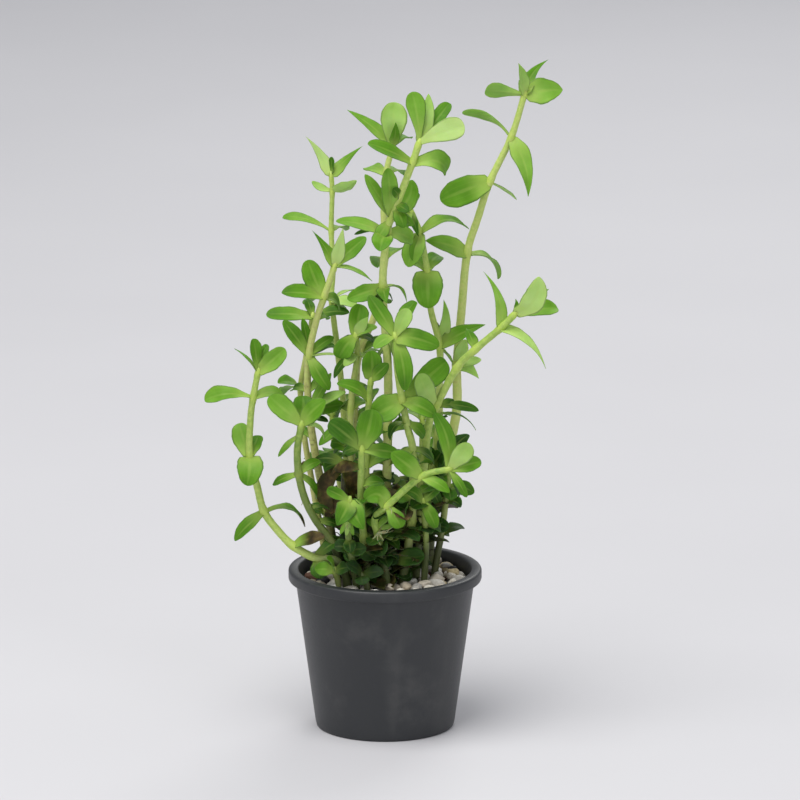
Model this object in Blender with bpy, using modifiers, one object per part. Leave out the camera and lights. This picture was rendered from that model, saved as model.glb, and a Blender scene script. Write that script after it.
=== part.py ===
"""Potted lemon bacopa: a bunch of bacopa shoots standing in pale gravel, in a plain plastic pot.

Units in the lists are millimetres. The origin is the middle of the pot's underside, and the
front of the plant faces -Y. Points of the plant are given as seen from the front, from
VIEW_ANGLE above level: how far right, how far up the picture, and how far back.
"""

import math
import random

import bmesh
import bpy
from mathutils import Matrix, Vector

MM = 0.001

# Pot
POT_HEIGHT = 45.6
POT_FOOT_RADIUS = 19.5
POT_TOP_RADIUS = 25.6
POT_WALL = 1.3
POT_FLOOR = 2.0
RIM_OUT = 1.6
RIM_HEIGHT = 3.2
RIM_ROUND = 0.5
POT_STEPS = 28
DRAIN_HOLES = 4
DRAIN_SIDES = 8
DRAIN_RADIUS = 2.4
DRAIN_RING = 11.5

# Gravel, its rough stones round the edge, and the sockets that the stems stand in
GRAVEL_TOP = 44.0
GAP = 0.35
STONE_RING = 20.6
STONES = 13
STONE_SIZE = (4.4, 6.2)
STONE_FLATNESS = 0.42
STONE_HEIGHTS = (-0.9, -0.1)
STONE_WANDER = 0.12
STONE_TILT = 0.4
STONE_SEED = 7
SOCKET_SIDES = 6
SOCKET_PLAY = 0.65
SOCKET_ABOVE = 3.0
ROOT_DEPTH = 11.0

# Plant. BEVEL_RESOLUTION 1 gives a stem six sides. A leaf starts ROOT_IN_STEM of the way out from
# the stem's axis to its surface, and its edges stand up by BLADE_FOLD of its half width.
VIEW_ANGLE = math.radians(14)
LONG_STRETCH = 19.0
BEVEL_RESOLUTION = 1
NODE_SWELL = 1.14
BUD_LENGTH = 1.3
BUD_TAPER = 0.7
ROOT_IN_STEM = 0.62
BLADE_THICK = 0.5
BLADE_THIN_END = 0.5
BLADE_FOLD = 0.16
BLADE_START = 0.05
BLADE_LEAN = 0.85
BLADE_BLUNTNESS = 0.65
BLADE_SIDES = 3
BLADE_RINGS = 4
BROAD_BLADE = 5.9
BROAD_BLADE_RINGS = 5
EDGE_REACH = math.sin(math.tau / BLADE_SIDES)
WELD = 1e-6

# Each shoot: where its foot stands in the gravel (right, back), its thickness at the foot and
# at the tip, the points it passes (right, up, back), and its leaves. A leaf is given by the
# number of its point, its tip from there (right, up, back), its width, how far its face turns
# to the front (1 is full, 0 is as it grows, below 0 shows the underside), and its arch.
SHOOTS = {
    "stem_tall_right": {
        "foot": (12, 8),
        "thick": (3.2, 1.7),
        "path": [
            (14, 20, 9), (19.8, 43.4, 10), (20.2, 58.5, 11), (21.5, 74, 12), (23, 89.6, 12),
            (26, 99.5, 12), (29.4, 109.8, 12), (35.3, 122.1, 12), (38.9, 133.8, 12),
        ],
        "leaves": [
            (8, -11.2, 0.9, -5, 4.5, -0.85, 0.4),
            (8, 10.7, 1.4, 4, 7.5, 0.9, 0.5),
            (8, 6.7, 10.1, 4, 4.6, 0.7, -1),
            (8, -1.4, 8.4, -4, 4.2, 0.6, 0.3),
            (7, -14, 6.4, 6, 3.4, -0.5, 2.2),
            (7, 4.7, -16.8, -5, 5.6, 0.9, 1.2),
            (6, -14, -5.6, -7, 8, 0.9, 0.6),
            (6, 7.6, -5, 10, 4, 0, 0.3),
            (4, -11.8, 3.4, -7, 6.2, 0.6, 1),
            (4, 8.7, -7, 7, 5, 0.1, 3),
            (2, 2.5, 7.3, -4, 4, 0.9, 1),
            (2, 6.1, -3.6, -5, 4.4, 0.6, 1.6),
            (0, 6, 3, 3, 4.6, 0.3, 0.8),
        ],
    },
    "stem_leaning_right": {
        "foot": (8.5, -2),
        "thick": (2.8, 1.9),
        "path": [
            (9.3, 12, -2), (10.1, 22.4, -3), (12, 40.6, -5), (14.3, 47, -6),
            (20.2, 57.7, -8), (25.2, 62.7, -10), (32.2, 68.6, -12), (36.1, 72.5, -13),
        ],
        "leaves": [
            (7, 6.5, 10.2, -5, 6.5, 0.9, 0.5),
            (7, 12, 1.8, 4, 5, 0.6, 1),
            (7, 9.6, 7, 8, 3, 0, 1),
            (7, 0.3, 4.2, 2, 2, 0.3, 0.2),
            (6, -5, 15.7, 5, 4.2, 0.4, 1.5),
            (6, 12.6, -11.2, -5, 4.4, 0.4, 2),
            (5, -2.4, 6.2, 4, 3.6, 0.5, 0.5),
            (4, 6.6, 2.4, 3.5, 3, 0.3, 0.5),
            (3, 11.8, -1.6, 4, 3.2, 0.3, 1.2),
            (3, -10, 0, -4, 5, 0.4, 1.2),
            (3, -4.5, 8.5, -8.5, 6, 0.8, 0.5),
        ],
    },
    "stem_tall_front": {
        "foot": (0, -2),
        "thick": (2.9, 1.9),
        "path": [
            (0.3, 18, -3), (0.8, 40, -4), (0.8, 57.4, -5), (-0.6, 80.1, -7), (0.6, 94.9, -8),
            (1.9, 99.6, -8), (4.5, 106, -9), (7.6, 114.2, -10), (9.5, 119.8, -10),
        ],
        "leaves": [
            (8, -2, 14, 2, 5.4, 0.7, 0.5),
            (8, 2.5, 13.6, 5, 4.6, 0.3, 0.5),
            (8, 8.4, 11, 8, 4.2, 0.4, 1),
            (8, 12.6, 4.5, -6, 6.4, 0.9, 0.8),
            (7, -12.1, 5.4, -5, 4.8, 0.6, 1.2),
            (7, 9.6, -2.2, 4, 6.2, 0.6, 3.4),
            (5, -7.6, 11.5, -2, 4.6, 0.6, 1),
            (5, -1, 13, -4, 5.2, 0.7, 0.5),
            (5, 5.4, 10.2, 2, 6.4, 0.4, -1.2),
            (4, -14.3, 3, -2, 5, 0.5, 1.2),
            (4, -2, -5.3, -8, 6, 0.5, 1),
            (4, 7, -2, 4, 6, 0.5, 1),
            (3, -9.8, -3.4, -4, 4.8, 0.8, 0.8),
            (3, 7, -3.7, 6, 2.2, 0, 2.2),
            (3, 1.1, -4.5, -7, 4, 0.4, 0.8),
            (1, 8, 1.5, 4, 5, 0.5, 1.5),
            (0, -3, 5, -6, 4.4, 0.6, 0.8),
            (0, 5, 4, 2, 4.4, 0.5, 0.8),
        ],
    },
    "stem_tall_back": {
        "foot": (-4, 10),
        "thick": (2.7, 1.6),
        "path": [
            (-7, 20, 13), (-9, 37.8, 16), (-8.4, 49, 17), (-7.4, 61.6, 17.5), (-2.3, 74.2, 18),
            (-0.1, 88.2, 18), (-0.4, 102.2, 18), (0.3, 112, 18), (2.2, 119.8, 18),
        ],
        "leaves": [
            (8, -12.8, 10.1, 2, 4.2, 0.6, 1),
            (8, 0.6, 11.6, -2, 7.4, 1, 0.4),
            (8, 0.8, 6, -4, 3, 0.8, 0.3),
            (8, 5.3, 2.8, 5, 3.6, 0, 0.8),
            (7, -5.6, 2, 6, 5, 0.4, 1),
            (7, 5, 0, 8, 5, 0, 1.4),
            (5, -2, -2, 11, 5.4, 0, 1.4),
            (5, 5, 3, 8, 5, 0, 1),
            (3, -6, 2, 8, 5, 0, 1.4),
            (3, 7, 0, 6, 5, 0, 1.4),
        ],
    },
    "stem_centre_right": {
        "foot": (7, 4),
        "thick": (2.6, 1.5),
        "path": [
            (11, 18, 5), (14.8, 38, 5.5), (15.2, 52, 5.5), (15.3, 63.6, 5), (12.8, 74, 4.5),
            (11.8, 84.8, 4), (9.8, 95.2, 3.5), (7.2, 101.5, 3),
        ],
        "leaves": [
            (7, 0.8, 7.8, 2, 5, 0.5, -1.5),
            (7, -3.4, 3.6, -1, 3, 0.5, 0.3),
            (6, 13.7, 1.1, 3, 5.4, 0.3, 3.6),
            (6, -3.6, -9.2, -5, 6.5, 0.7, 1),
            (5, 0.3, -10.6, -6, 8.6, 1, 1.5),
            (5, -4.5, 4, 6, 5, 0.3, 0.8),
            (5, 3.5, 4.5, 7, 5, 0.3, 0.8),
            (3, 0.9, 13.1, 2, 3.4, 0.7, 0.4),
            (3, 12.4, 6.4, -2, 5, 0.7, 0.8),
            (3, -1, 7, 6, 2.2, 0.2, 0.8),
            (1, -6, 2, 6, 5, 0.3, 1.2),
        ],
    },
    "stem_front_centre": {
        "foot": (5, -8),
        "thick": (2.6, 1.8),
        "path": [
            (7.5, 15, -9), (7.8, 33.6, -11), (6.4, 40.6, -12), (4.8, 48.4, -13),
            (3.5, 57, -14), (2.8, 66.4, -15),
        ],
        "leaves": [
            (5, 12, -2.8, -3, 5.6, 0.9, 1),
            (5, 3.6, 7.5, -1, 4.5, 0.8, 0.5),
            (5, 5.6, 9.8, 4, 4.2, 0.6, 0.5),
            (5, 2.8, -15.2, -3, 5, 0.7, 1.5),
            (5, -5.9, -3.4, -3, 3.6, 0.6, 1),
            (5, -7, 11.4, 3, 4.8, 0.6, 0.5),
            (3, -8.2, -4.2, -3, 7.6, 0.95, 0.8),
            (3, 12.3, 11, 11, 7, 0.9, 1),
            (3, 9.5, -4.2, -2, 5.6, 0.6, 2),
            (0, -4, 4, -3, 4.4, 0.6, 0.8),
        ],
    },
    "stem_tall_left": {
        "foot": (-9.5, 9),
        "thick": (2.3, 1.3),
        "path": [
            (-10, 18, 10), (-11, 34, 12), (-12, 50, 13), (-13.4, 63, 14), (-15, 76.7, 15),
            (-14.6, 85.4, 16), (-15.1, 96, 17), (-14.8, 107, 17), (-15.1, 111.5, 17),
        ],
        "leaves": [
            (8, -7, 10.9, -1, 3.9, 0.8, -0.8),
            (8, 8.9, 8.3, 1, 3.6, 0.8, -0.6),
            (8, 0.3, 5.2, 0, 2.4, 0.5, 0),
            (7, -5.6, 3.2, 2, 3, 0.3, -0.8),
            (7, 6.9, 3.2, -4, 4.2, -0.5, -0.8),
            (6, -13.7, 3.7, 3, 3.3, 0.4, 1.8),
            (6, 4, 0, 10, 5, 0, 1.4),
            (4, 7.2, -1.9, -4, 4.5, 0.5, 0.8),
            (4, 7.7, 3.1, 5, 3.1, 0, 1),
            (4, -8, -1, 6, 5, 0, 1.2),
            (3, 5, 2, -5, 4.4, 0.4, 1),
            (3, -3, 2, 8, 4.6, 0, 1.2),
            (0, -4, 3, 5, 4.4, 0, 0.8),
        ],
    },
    "stem_second_left": {
        "foot": (-13.5, 3),
        "thick": (2.6, 1.7),
        "path": [
            (-16, 16, 3), (-19.6, 33.6, 4), (-21.6, 49, 4), (-21.3, 61, 3), (-19, 71.4, 1),
            (-17, 77.3, 0), (-14, 86, -2),
        ],
        "leaves": [
            (6, -6.4, 9.8, 2, 3.8, 0.6, 0.4),
            (6, 2.4, 10.6, -3, 4, 0.9, 0.4),
            (6, 8.8, 7.9, 2, 4.6, 0.5, 0.6),
            (6, 10.4, -4.5, -3, 2.6, 0.1, 1.2),
            (5, -11.8, 1.2, -3, 5, 0.5, 0.8),
            (5, -4.5, 10.4, 2, 6, 0.9, 0.4),
            (5, 4.5, -3, 4, 4.6, 0.2, 1),
            (3, -7.3, 9.8, 2, 4.2, 0.7, 0.8),
            (3, 6.7, 5.6, 2, 3.1, 0.5, 0.8),
            (3, 7.3, 3.1, 5, 3.1, 0.3, 0.8),
            (0, -6, 2, -1, 4.4, 0.4, 0.8),
            (0, 5, 3, 3, 4.4, 0.4, 0.8),
        ],
    },
    "stem_thin_left": {
        "foot": (-16.5, 8),
        "thick": (2, 1.4),
        "path": [
            (-20, 22, 10), (-23, 40, 12), (-23.8, 51.8, 13), (-22.4, 60.2, 13), (-20.4, 72, 13),
        ],
        "leaves": [
            (4, -12.9, 0.8, -2, 5.2, 0.4, 0.8),
            (4, 10.4, 1, -3, 4.6, 0.4, 1),
            (4, -1.5, 5, 3, 3, 0.3, 0.4),
            (2, -5, -2, 8, 5, 0, 1.4),
            (2, -6, 2, -6, 4.6, 0.3, 1),
        ],
    },
    "stem_arched_left": {
        "foot": (-11.5, -7),
        "thick": (2.3, 2),
        "path": [
            (-14.5, 8, -8), (-19.3, 14.8, -9), (-22.4, 21, -10), (-24.1, 28, -11),
            (-24.4, 35, -12), (-23.2, 42, -12),
        ],
        "leaves": [
            (5, -8.7, 7.6, -2, 6.5, 0.8, 0.8),
            (5, 6.5, 6.5, -3, 6, 0.8, 0.8),
            (5, 0.2, 7.8, 4, 6.2, 0.8, 0.6),
            (5, 6.7, -3.9, 3, 2.8, 0.3, 1.6),
            (3, -7.5, -2.8, 2, 3.1, 0.5, 0.8),
            (3, 5.9, 3.9, 3, 3.4, 0.4, 0.8),
        ],
    },
    "stem_trailing_left": {
        "foot": (-10.5, -11.5),
        "thick": (2.6, 1.7),
        "path": [
            (-13.5, 3.4, -12), (-19.6, 4.4, -11), (-25.8, 7.8, -9), (-30, 12, -8), (-33.9, 17.4, -7),
            (-35.8, 24.6, -8), (-37.8, 33, -9), (-37.5, 43.4, -10), (-36.7, 49.3, -11),
            (-35.3, 56.5, -12),
        ],
        "leaves": [
            (9, -6.2, 6.7, 1, 1.8, 0, 0.6),
            (9, -1, 9, -1, 4, 0.6, 0.2),
            (9, 7.2, 6.4, -2, 5.2, 0.8, 0.5),
            (9, 2.5, 7.6, 2, 2.6, 0.6, 0.2),
            (8, -13.4, 0, -2, 5, 0.4, 2),
            (8, 8.4, 0.3, 3, 4.4, 0.3, 1.6),
            (6, -2.8, 9.2, 3, 5.6, 0.8, 0.6),
            (6, 2.5, 5.6, 4, 4, 0.6, 0.6),
            (6, -0.6, -8.4, -6, 7.4, 0.9, 1.8),
            (4, -8.4, -8, -2, 4.6, 0.6, 1),
            (4, 11.8, -3.6, 2, 4.4, 0.2, 3),
            (2, 9, 2.5, -5, 4.6, 0.5, 1),
        ],
    },
    "stem_left_of_centre": {
        "foot": (-7, 3),
        "thick": (2.4, 1.7),
        "path": [(-9, 22, 3), (-9.6, 46, 2), (-7.8, 60, 0), (-8.1, 66.6, -1)],
        "leaves": [
            (3, 3.3, 5.1, -3, 3.4, 0.8, 0.5),
            (3, -4.8, -6.1, -3, 5.6, 0.8, 1.2),
            (3, 1.4, 8.7, 3, 5.6, 0.8, 0.5),
            (3, 5.6, -2.2, 1, 3.4, 0.4, 1),
            (3, 5.9, 2.3, -3, 3.1, 0.5, 0.8),
            (1, -5, 0, 6, 5, 0.2, 1.2),
            (1, 5, 2, 5, 4.6, 0.2, 1.2),
        ],
    },
    "stem_inner": {
        "foot": (-3.5, -5.5),
        "thick": (2.2, 1.6),
        "path": [(-5, 20, -5), (-5.2, 36, -5.5), (-4.5, 48.4, -6), (-3.9, 54.2, -6.5)],
        "leaves": [
            (3, 0, 8, -1, 5.9, 1, 0.6),
            (3, 4.7, 4.6, -3, 3.9, 0.7, 0.6),
            (2, -8.9, 4.8, -2, 4.2, 0.6, 1.6),
            (2, 0.9, 3.1, 8, 4.5, 0.2, 1),
        ],
    },
    "stem_front_short": {
        "foot": (-4.5, -10),
        "thick": (2.3, 1.9),
        "path": [(-6, 10, -12), (-6.7, 22, -14), (-6.4, 35, -16)],
        "leaves": [
            (2, 2.8, 10.6, -2, 7.4, 1, 0.4),
            (2, -9, 7.5, -2, 6, 0.8, 0.8),
            (2, 10.5, -1.5, 1, 4.8, 0.6, 1),
            (2, -6, -2, 3, 4.6, 0.3, 1),
            (0, -3, 4, 3, 4.4, 0.4, 0.8),
            (0, 4, 3, 3, 4.2, 0.4, 0.8),
        ],
    },
    "shoot_front_low": {
        "foot": (-8, -14.5),
        "thick": (2, 1.7),
        "path": [(-10.2, 10.4, -17), (-9.8, 20.6, -19)],
        "leaves": [
            (1, -6.2, 3.2, -1, 3.4, 0.9, 0.5),
            (1, -3.5, -6.7, -5, 5.8, 1, 1),
            (1, 3.8, -7.8, -5, 6.2, 1, 1),
        ],
    },
    "branch_front_right": {
        "foot": (0.5, -12),
        "thick": (2.6, 1.7),
        "path": [
            (-2, 10.9, -13), (-2.8, 15.4, -14), (0.6, 19, -15), (10.1, 27.2, -17),
            (17.9, 29.4, -18),
        ],
        "leaves": [
            (2, -6.2, 1.8, -2, 5.8, 0.9, 0.8),
            (2, 3.9, -5.8, -3, 4.8, 0.8, 0.8),
            (3, -8.4, 6.7, -3, 6.2, 0.8, 0.8),
            (3, 8, -4, -3, 4.2, 0.6, 0.8),
            (4, -4.2, 15.7, 2, 4.8, 0.8, 0.6),
            (4, 5.9, 6.6, -2, 5.6, 0.9, 0.5),
            (4, 9, 2.2, 2, 4.6, 0.5, 1),
        ],
    },
    "stem_low_right": {
        "foot": (14, 1),
        "thick": (2.2, 1.6),
        "path": [(16, 12, 2), (17.5, 24, 3), (18.5, 33, 4)],
        "leaves": [
            (2, 5, 6, 3, 5, 0.5, 0.6),
            (2, -4, 4, -4, 4.6, 0.6, 0.6),
            (2, 3, -3, -5, 4.6, 0.6, 0.8),
            (1, 7.5, -1, -2, 5, 0.5, 1),
            (1, -3, 1, -7, 4.6, 0.5, 1),
        ],
    },
    "shoot_foot_right": {
        "foot": (11, -8),
        "thick": (2, 1.6),
        "path": [(11.5, 9, -9), (10.6, 20, -10)],
        "leaves": [
            (1, 3.7, -7.1, -3, 3.9, 0.8, 1),
            (1, -5, 3.8, -4, 4.5, 0.6, 0.8),
            (1, 4.8, 4.6, 2, 4.2, 0.6, 0.5),
        ],
    },
    "shoot_foot_front": {
        "foot": (-5, -16.8),
        "thick": (1.9, 1.7),
        "path": [(-6.4, -0.4, -16.5)],
        "leaves": [
            (0, 0.2, -2.5, -4, 4.2, 0.8, 0.6),
            (0, 6, 1, -2, 4.4, 0.6, 0.6),
            (0, -4.2, 3.4, -3, 4.2, 0.6, 0.6),
        ],
    },
    "shoot_foot_left": {
        "foot": (-13, -14.5),
        "thick": (1.9, 1.7),
        "path": [(-14, 0.8, -15)],
        "leaves": [
            (0, -5.6, 0.4, -1, 4.2, 0.7, 0.4),
            (0, 4.4, 1.2, -3, 4, 0.6, 0.6),
            (0, -2.4, 3.6, -3, 3.6, 0.5, 0.4),
        ],
    },
    "shoot_old_leaves": {
        "foot": (-9.5, -2),
        "thick": (2.3, 1.8),
        "path": [(-10.5, 12, -2), (-11.4, 22, -3), (-11.2, 30.5, -3)],
        "leaves": [
            (2, -3.4, -13.7, -5, 4.8, 0.7, 1),
            (2, 3.4, -9.8, 1, 6.2, 0.8, 1.6),
            (1, -5.4, -6.3, -3, 3.9, 0.6, 1.4),
            (2, -9.2, 0.9, 1, 3.9, 0.5, 2),
        ],
    },
    "stem_back_left": {
        "foot": (-10, 15),
        "thick": (2.2, 1.5),
        "path": [(-11, 15, 17), (-14, 32, 19), (-15, 44, 20)],
        "leaves": [
            (2, -8, 2, 3, 5.2, 0, 1.2),
            (2, 8, 2, 3, 5.2, 0, 1.2),
            (2, 1, 7, 4, 4, 0, 0.5),
            (1, -2, 2, 9, 5, 0, 1.4),
            (1, -9, 0, 0, 5, 0.3, 1.2),
        ],
    },
    "stem_back_right": {
        "foot": (5, 13),
        "thick": (2.2, 1.5),
        "path": [(7, 16, 16), (10, 30, 18), (10.5, 43, 19)],
        "leaves": [
            (2, -8, 2, 3, 5.2, 0, 1.2),
            (2, 8, 1, 3, 5.2, 0, 1.2),
            (2, 0, 7, 4, 4, 0, 0.5),
            (1, 8, 0, 0, 5, 0.3, 1.2),
            (1, 1, 2, 9, 5, 0, 1.4),
        ],
    },
}

LEAF_GREEN = (0.105, 0.31, 0.03)
OLD_BROWN = (0.08, 0.07, 0.02)
POT_BLACK = (0.03, 0.032, 0.035)
GRAVEL_CREAM = (0.6, 0.57, 0.5)
LEAF_ROUGHNESS = 0.5
POT_ROUGHNESS = 0.45
GRAVEL_ROUGHNESS = 0.8

# A stem's route begins with the buried end and the point where it leaves the gravel.
BURIED_POINTS = 2


def clear_scene():
    for obj in list(bpy.data.objects):
        bpy.data.objects.remove(obj)


def new_collection(name):
    group = bpy.data.collections.new(name)
    bpy.context.scene.collection.children.link(group)
    return group


def new_material(name, colour, roughness):
    material = bpy.data.materials.new(name)
    material.use_nodes = True
    shader = material.node_tree.nodes["Principled BSDF"]
    shader.inputs["Base Color"].default_value = (*colour, 1)
    shader.inputs["Roughness"].default_value = roughness
    shader.inputs["Metallic"].default_value = 0
    return material


def new_object(name, mesh, group, material=None):
    obj = bpy.data.objects.new(name, mesh)
    group.objects.link(obj)
    if material:
        obj.data.materials.append(material)
    return obj


def as_cutter(obj):
    obj.hide_render = True
    obj.display_type = "WIRE"
    return obj


def add_boolean(obj, operation, other):
    modifier = obj.modifiers.new(operation.lower(), "BOOLEAN")
    modifier.operation = operation
    modifier.solver = "EXACT"
    modifier.use_self = True
    modifier.object = other


def mesh_of(bm, name):
    mesh = bpy.data.meshes.new(name)
    bm.to_mesh(mesh)
    bm.free()
    return mesh


def turned_mesh(name, profile):
    """An open outline of (radius, height) that a Screw turns round the Z axis."""
    bm = bmesh.new()
    corners = [bm.verts.new((radius * MM, 0, height * MM)) for radius, height in profile]
    for first, second in zip(corners, corners[1:]):
        bm.edges.new((first, second))
    return mesh_of(bm, name)


def add_screw(obj, steps):
    screw = obj.modifiers.new("turn", "SCREW")
    screw.steps = steps
    screw.render_steps = steps
    screw.use_merge_vertices = True
    screw.merge_threshold = 0.0001


def pot_inner_radius(height):
    """The radius of the pot's inner wall at a height above its underside."""
    share = height / POT_HEIGHT
    return POT_FOOT_RADIUS + (POT_TOP_RADIUS - POT_FOOT_RADIUS) * share - POT_WALL


def make_pot(parts, cutters):
    rim_outer = POT_TOP_RADIUS + RIM_OUT
    rim_bottom = POT_HEIGHT - RIM_HEIGHT
    wall_at_rim = pot_inner_radius(rim_bottom) + POT_WALL
    outline = [
        (0, POT_FLOOR),
        (pot_inner_radius(POT_FLOOR), POT_FLOOR),
        (pot_inner_radius(POT_HEIGHT - RIM_ROUND), POT_HEIGHT - RIM_ROUND),
        (pot_inner_radius(POT_HEIGHT) + RIM_ROUND, POT_HEIGHT),
        (rim_outer - RIM_ROUND, POT_HEIGHT),
        (rim_outer, POT_HEIGHT - RIM_ROUND),
        (rim_outer, rim_bottom),
        (wall_at_rim, rim_bottom),
        (POT_FOOT_RADIUS, RIM_ROUND),
        (POT_FOOT_RADIUS - RIM_ROUND, 0),
        (0, 0),
    ]
    pot = new_object("pot", turned_mesh("pot", outline), parts)
    pot.data.materials.append(new_material("pot_plastic", POT_BLACK, POT_ROUGHNESS))
    add_screw(pot, POT_STEPS)
    bm = bmesh.new()
    for hole in range(DRAIN_HOLES):
        angle = math.tau * (hole + 0.5) / DRAIN_HOLES
        centre = Vector((math.cos(angle), math.sin(angle), 0)) * DRAIN_RING * MM
        bmesh.ops.create_cone(
            bm, cap_ends=True, segments=DRAIN_SIDES, radius1=DRAIN_RADIUS * MM,
            radius2=DRAIN_RADIUS * MM, depth=3 * POT_FLOOR * MM,
            matrix=Matrix.Translation(centre),
        )
    holes = new_object("drain_holes", mesh_of(bm, "drain_holes"), cutters)
    add_boolean(pot, "DIFFERENCE", as_cutter(holes))
    pot.data.shade_smooth()


def stones_mesh():
    """Rough stones that stand out of the gravel's top, in a ring, each turned its own way."""
    chance = random.Random(STONE_SEED)
    bm = bmesh.new()
    for number in range(STONES):
        angle = math.tau * (number + chance.uniform(-STONE_WANDER, STONE_WANDER)) / STONES
        length, width, height = [chance.uniform(*STONE_SIZE) / 2 * MM for _ in range(3)]
        place = Vector((math.cos(angle), math.sin(angle), 0)) * STONE_RING * MM
        place.z = (GRAVEL_TOP + chance.uniform(*STONE_HEIGHTS)) * MM
        turn = Matrix.Rotation(chance.uniform(0, math.tau), 4, "Z")
        tilt = Matrix.Rotation(chance.uniform(-STONE_TILT, STONE_TILT), 4, "X")
        stretch = Matrix.Diagonal((length, width, STONE_FLATNESS * height, 1))
        bmesh.ops.create_icosphere(
            bm, subdivisions=1, radius=1,
            matrix=Matrix.Translation(place) @ turn @ tilt @ stretch,
        )
    return mesh_of(bm, "stones")


def make_gravel(parts, cutters, sockets):
    bottom = POT_FLOOR + GAP
    bm = bmesh.new()
    bmesh.ops.create_cone(
        bm, cap_ends=True, segments=POT_STEPS, depth=(GRAVEL_TOP - bottom) * MM,
        radius1=(pot_inner_radius(bottom) - GAP) * MM,
        radius2=(pot_inner_radius(GRAVEL_TOP) - GAP) * MM,
        matrix=Matrix.Translation((0, 0, (GRAVEL_TOP + bottom) / 2 * MM)),
    )
    gravel = new_object("gravel", mesh_of(bm, "gravel"), parts)
    gravel.data.materials.append(new_material("gravel_stone", GRAVEL_CREAM, GRAVEL_ROUGHNESS))
    stones = new_object("gravel_stones", stones_mesh(), cutters)
    add_boolean(gravel, "UNION", as_cutter(stones))
    add_boolean(gravel, "DIFFERENCE", sockets)


def seen(right, up, back):
    """The vector of a step right, up the picture and back, as seen from VIEW_ANGLE above."""
    height = (up - back * math.sin(VIEW_ANGLE)) / math.cos(VIEW_ANGLE)
    return Vector((right, back, height)) * MM


def stem_points(shoot):
    """The stem's own points, from its buried end up to its tip."""
    x, y = shoot["foot"]
    buried = Vector((x, y, GRAVEL_TOP - ROOT_DEPTH)) * MM
    ground = Vector((x, y, GRAVEL_TOP)) * MM
    start = Vector((0, 0, GRAVEL_TOP)) * MM
    return [buried, ground] + [start + seen(*point) for point in shoot["path"]]


def smooth_route(points):
    """Points along one smooth curve through the given ones, and the place in it of each given one.

    A long stretch gets one more point halfway, which a Catmull-Rom curve through the points gives.
    The route ends in a short bud past the last point.
    """
    ends = [2 * points[0] - points[1]] + points + [2 * points[-1] - points[-2]]
    route = []
    places = []
    for before, here, there, after in zip(ends, ends[1:], ends[2:], ends[3:]):
        places.append(len(route))
        route.append(here)
        if (there - here).length > LONG_STRETCH * MM:
            route.append((9 * (here + there) - before - after) / 16)
    places.append(len(route))
    route.append(points[-1])
    route.append(points[-1] + (points[-1] - points[-2]).normalized() * BUD_LENGTH * MM)
    return route, places


def stem_radii(shoot, route, places):
    """The stem's radius at each point of its route, a little swollen where leaves grow."""
    foot, tip = shoot["thick"]
    nodes = {places[leaf[0] + BURIED_POINTS] for leaf in shoot["leaves"]}
    radii = []
    for number in range(len(route)):
        radius = (foot + (tip - foot) * number / (len(route) - 1)) / 2
        radii.append(radius * (NODE_SWELL if number in nodes else 1))
    radii[-1] *= BUD_TAPER
    return radii


def tube_mesh(name, route, radii):
    """A closed tube round a route, as a mesh."""
    curve = bpy.data.curves.new(name, "CURVE")
    curve.dimensions = "3D"
    curve.bevel_depth = MM
    curve.bevel_resolution = BEVEL_RESOLUTION
    curve.use_fill_caps = True
    spline = curve.splines.new("POLY")
    spline.points.add(len(route) - 1)
    for point, place, radius in zip(spline.points, route, radii):
        point.co = (*place, 1)
        point.radius = radius
    helper = new_object(name, curve, bpy.context.scene.collection)
    bpy.context.view_layer.update()
    graph = bpy.context.evaluated_depsgraph_get()
    mesh = bpy.data.meshes.new_from_object(helper.evaluated_get(graph))
    bpy.data.objects.remove(helper)
    bm = bmesh.new()
    bm.from_mesh(mesh)
    bmesh.ops.remove_doubles(bm, verts=bm.verts, dist=WELD)
    bm.to_mesh(mesh)
    bm.free()
    return mesh


def blade_outline(along):
    """Half the blade's width at a share of its length, as a share of half its greatest width."""
    place = BLADE_START + (1 - BLADE_START) * along
    return math.sin(math.pi * place ** BLADE_LEAN) ** BLADE_BLUNTNESS


def face_direction(way, stem_way, turn):
    """The direction that the blade's upper face looks, square to its length."""
    grown = (stem_way - stem_way.project(way)).normalized()
    viewer = Vector((0, -math.cos(VIEW_ANGLE), math.sin(VIEW_ANGLE)))
    if turn < 0:
        viewer.negate()
    front = (viewer - viewer.project(way)).normalized()
    return grown.lerp(front, abs(turn)).normalized()


def add_blade(bm, node, girth, stem_way, tip, width, turn, arch):
    """One leaf: a small sphere pressed flat, drawn out from the stem to its tip, and arched."""
    way = seen(*tip).normalized()
    root = node + way * girth * ROOT_IN_STEM
    reach = node + seen(*tip) - root
    face = face_direction(way, stem_way, turn)
    side = face.cross(way)
    rings = BROAD_BLADE_RINGS if width >= BROAD_BLADE else BLADE_RINGS
    ball = bmesh.ops.create_uvsphere(bm, u_segments=BLADE_SIDES, v_segments=rings, radius=1)
    for vert in ball["verts"]:
        along = (1 + vert.co.z) / 2
        ring = math.hypot(vert.co.x, vert.co.y)
        place = root + reach * along + face * arch * MM * 4 * along * (1 - along)
        if ring > WELD:
            across = vert.co.y / ring / EDGE_REACH
            over = -vert.co.x / ring
            half = blade_outline(along) * width / 2 * MM
            thick = BLADE_THICK * MM * (1 - BLADE_THIN_END * along)
            place += side * across * half
            place += face * (over * thick + abs(across) * BLADE_FOLD * half)
        vert.co = place


def blades_mesh(shoot, route, places, radii):
    bm = bmesh.new()
    for point, right, up, back, width, turn, arch in shoot["leaves"]:
        here = places[point + BURIED_POINTS]
        stem_way = (route[here + 1] - route[here - 1]).normalized()
        girth = radii[here] * MM
        add_blade(bm, route[here], girth, stem_way, (right, up, back), width, turn, arch)
    return mesh_of(bm, "blades")


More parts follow.
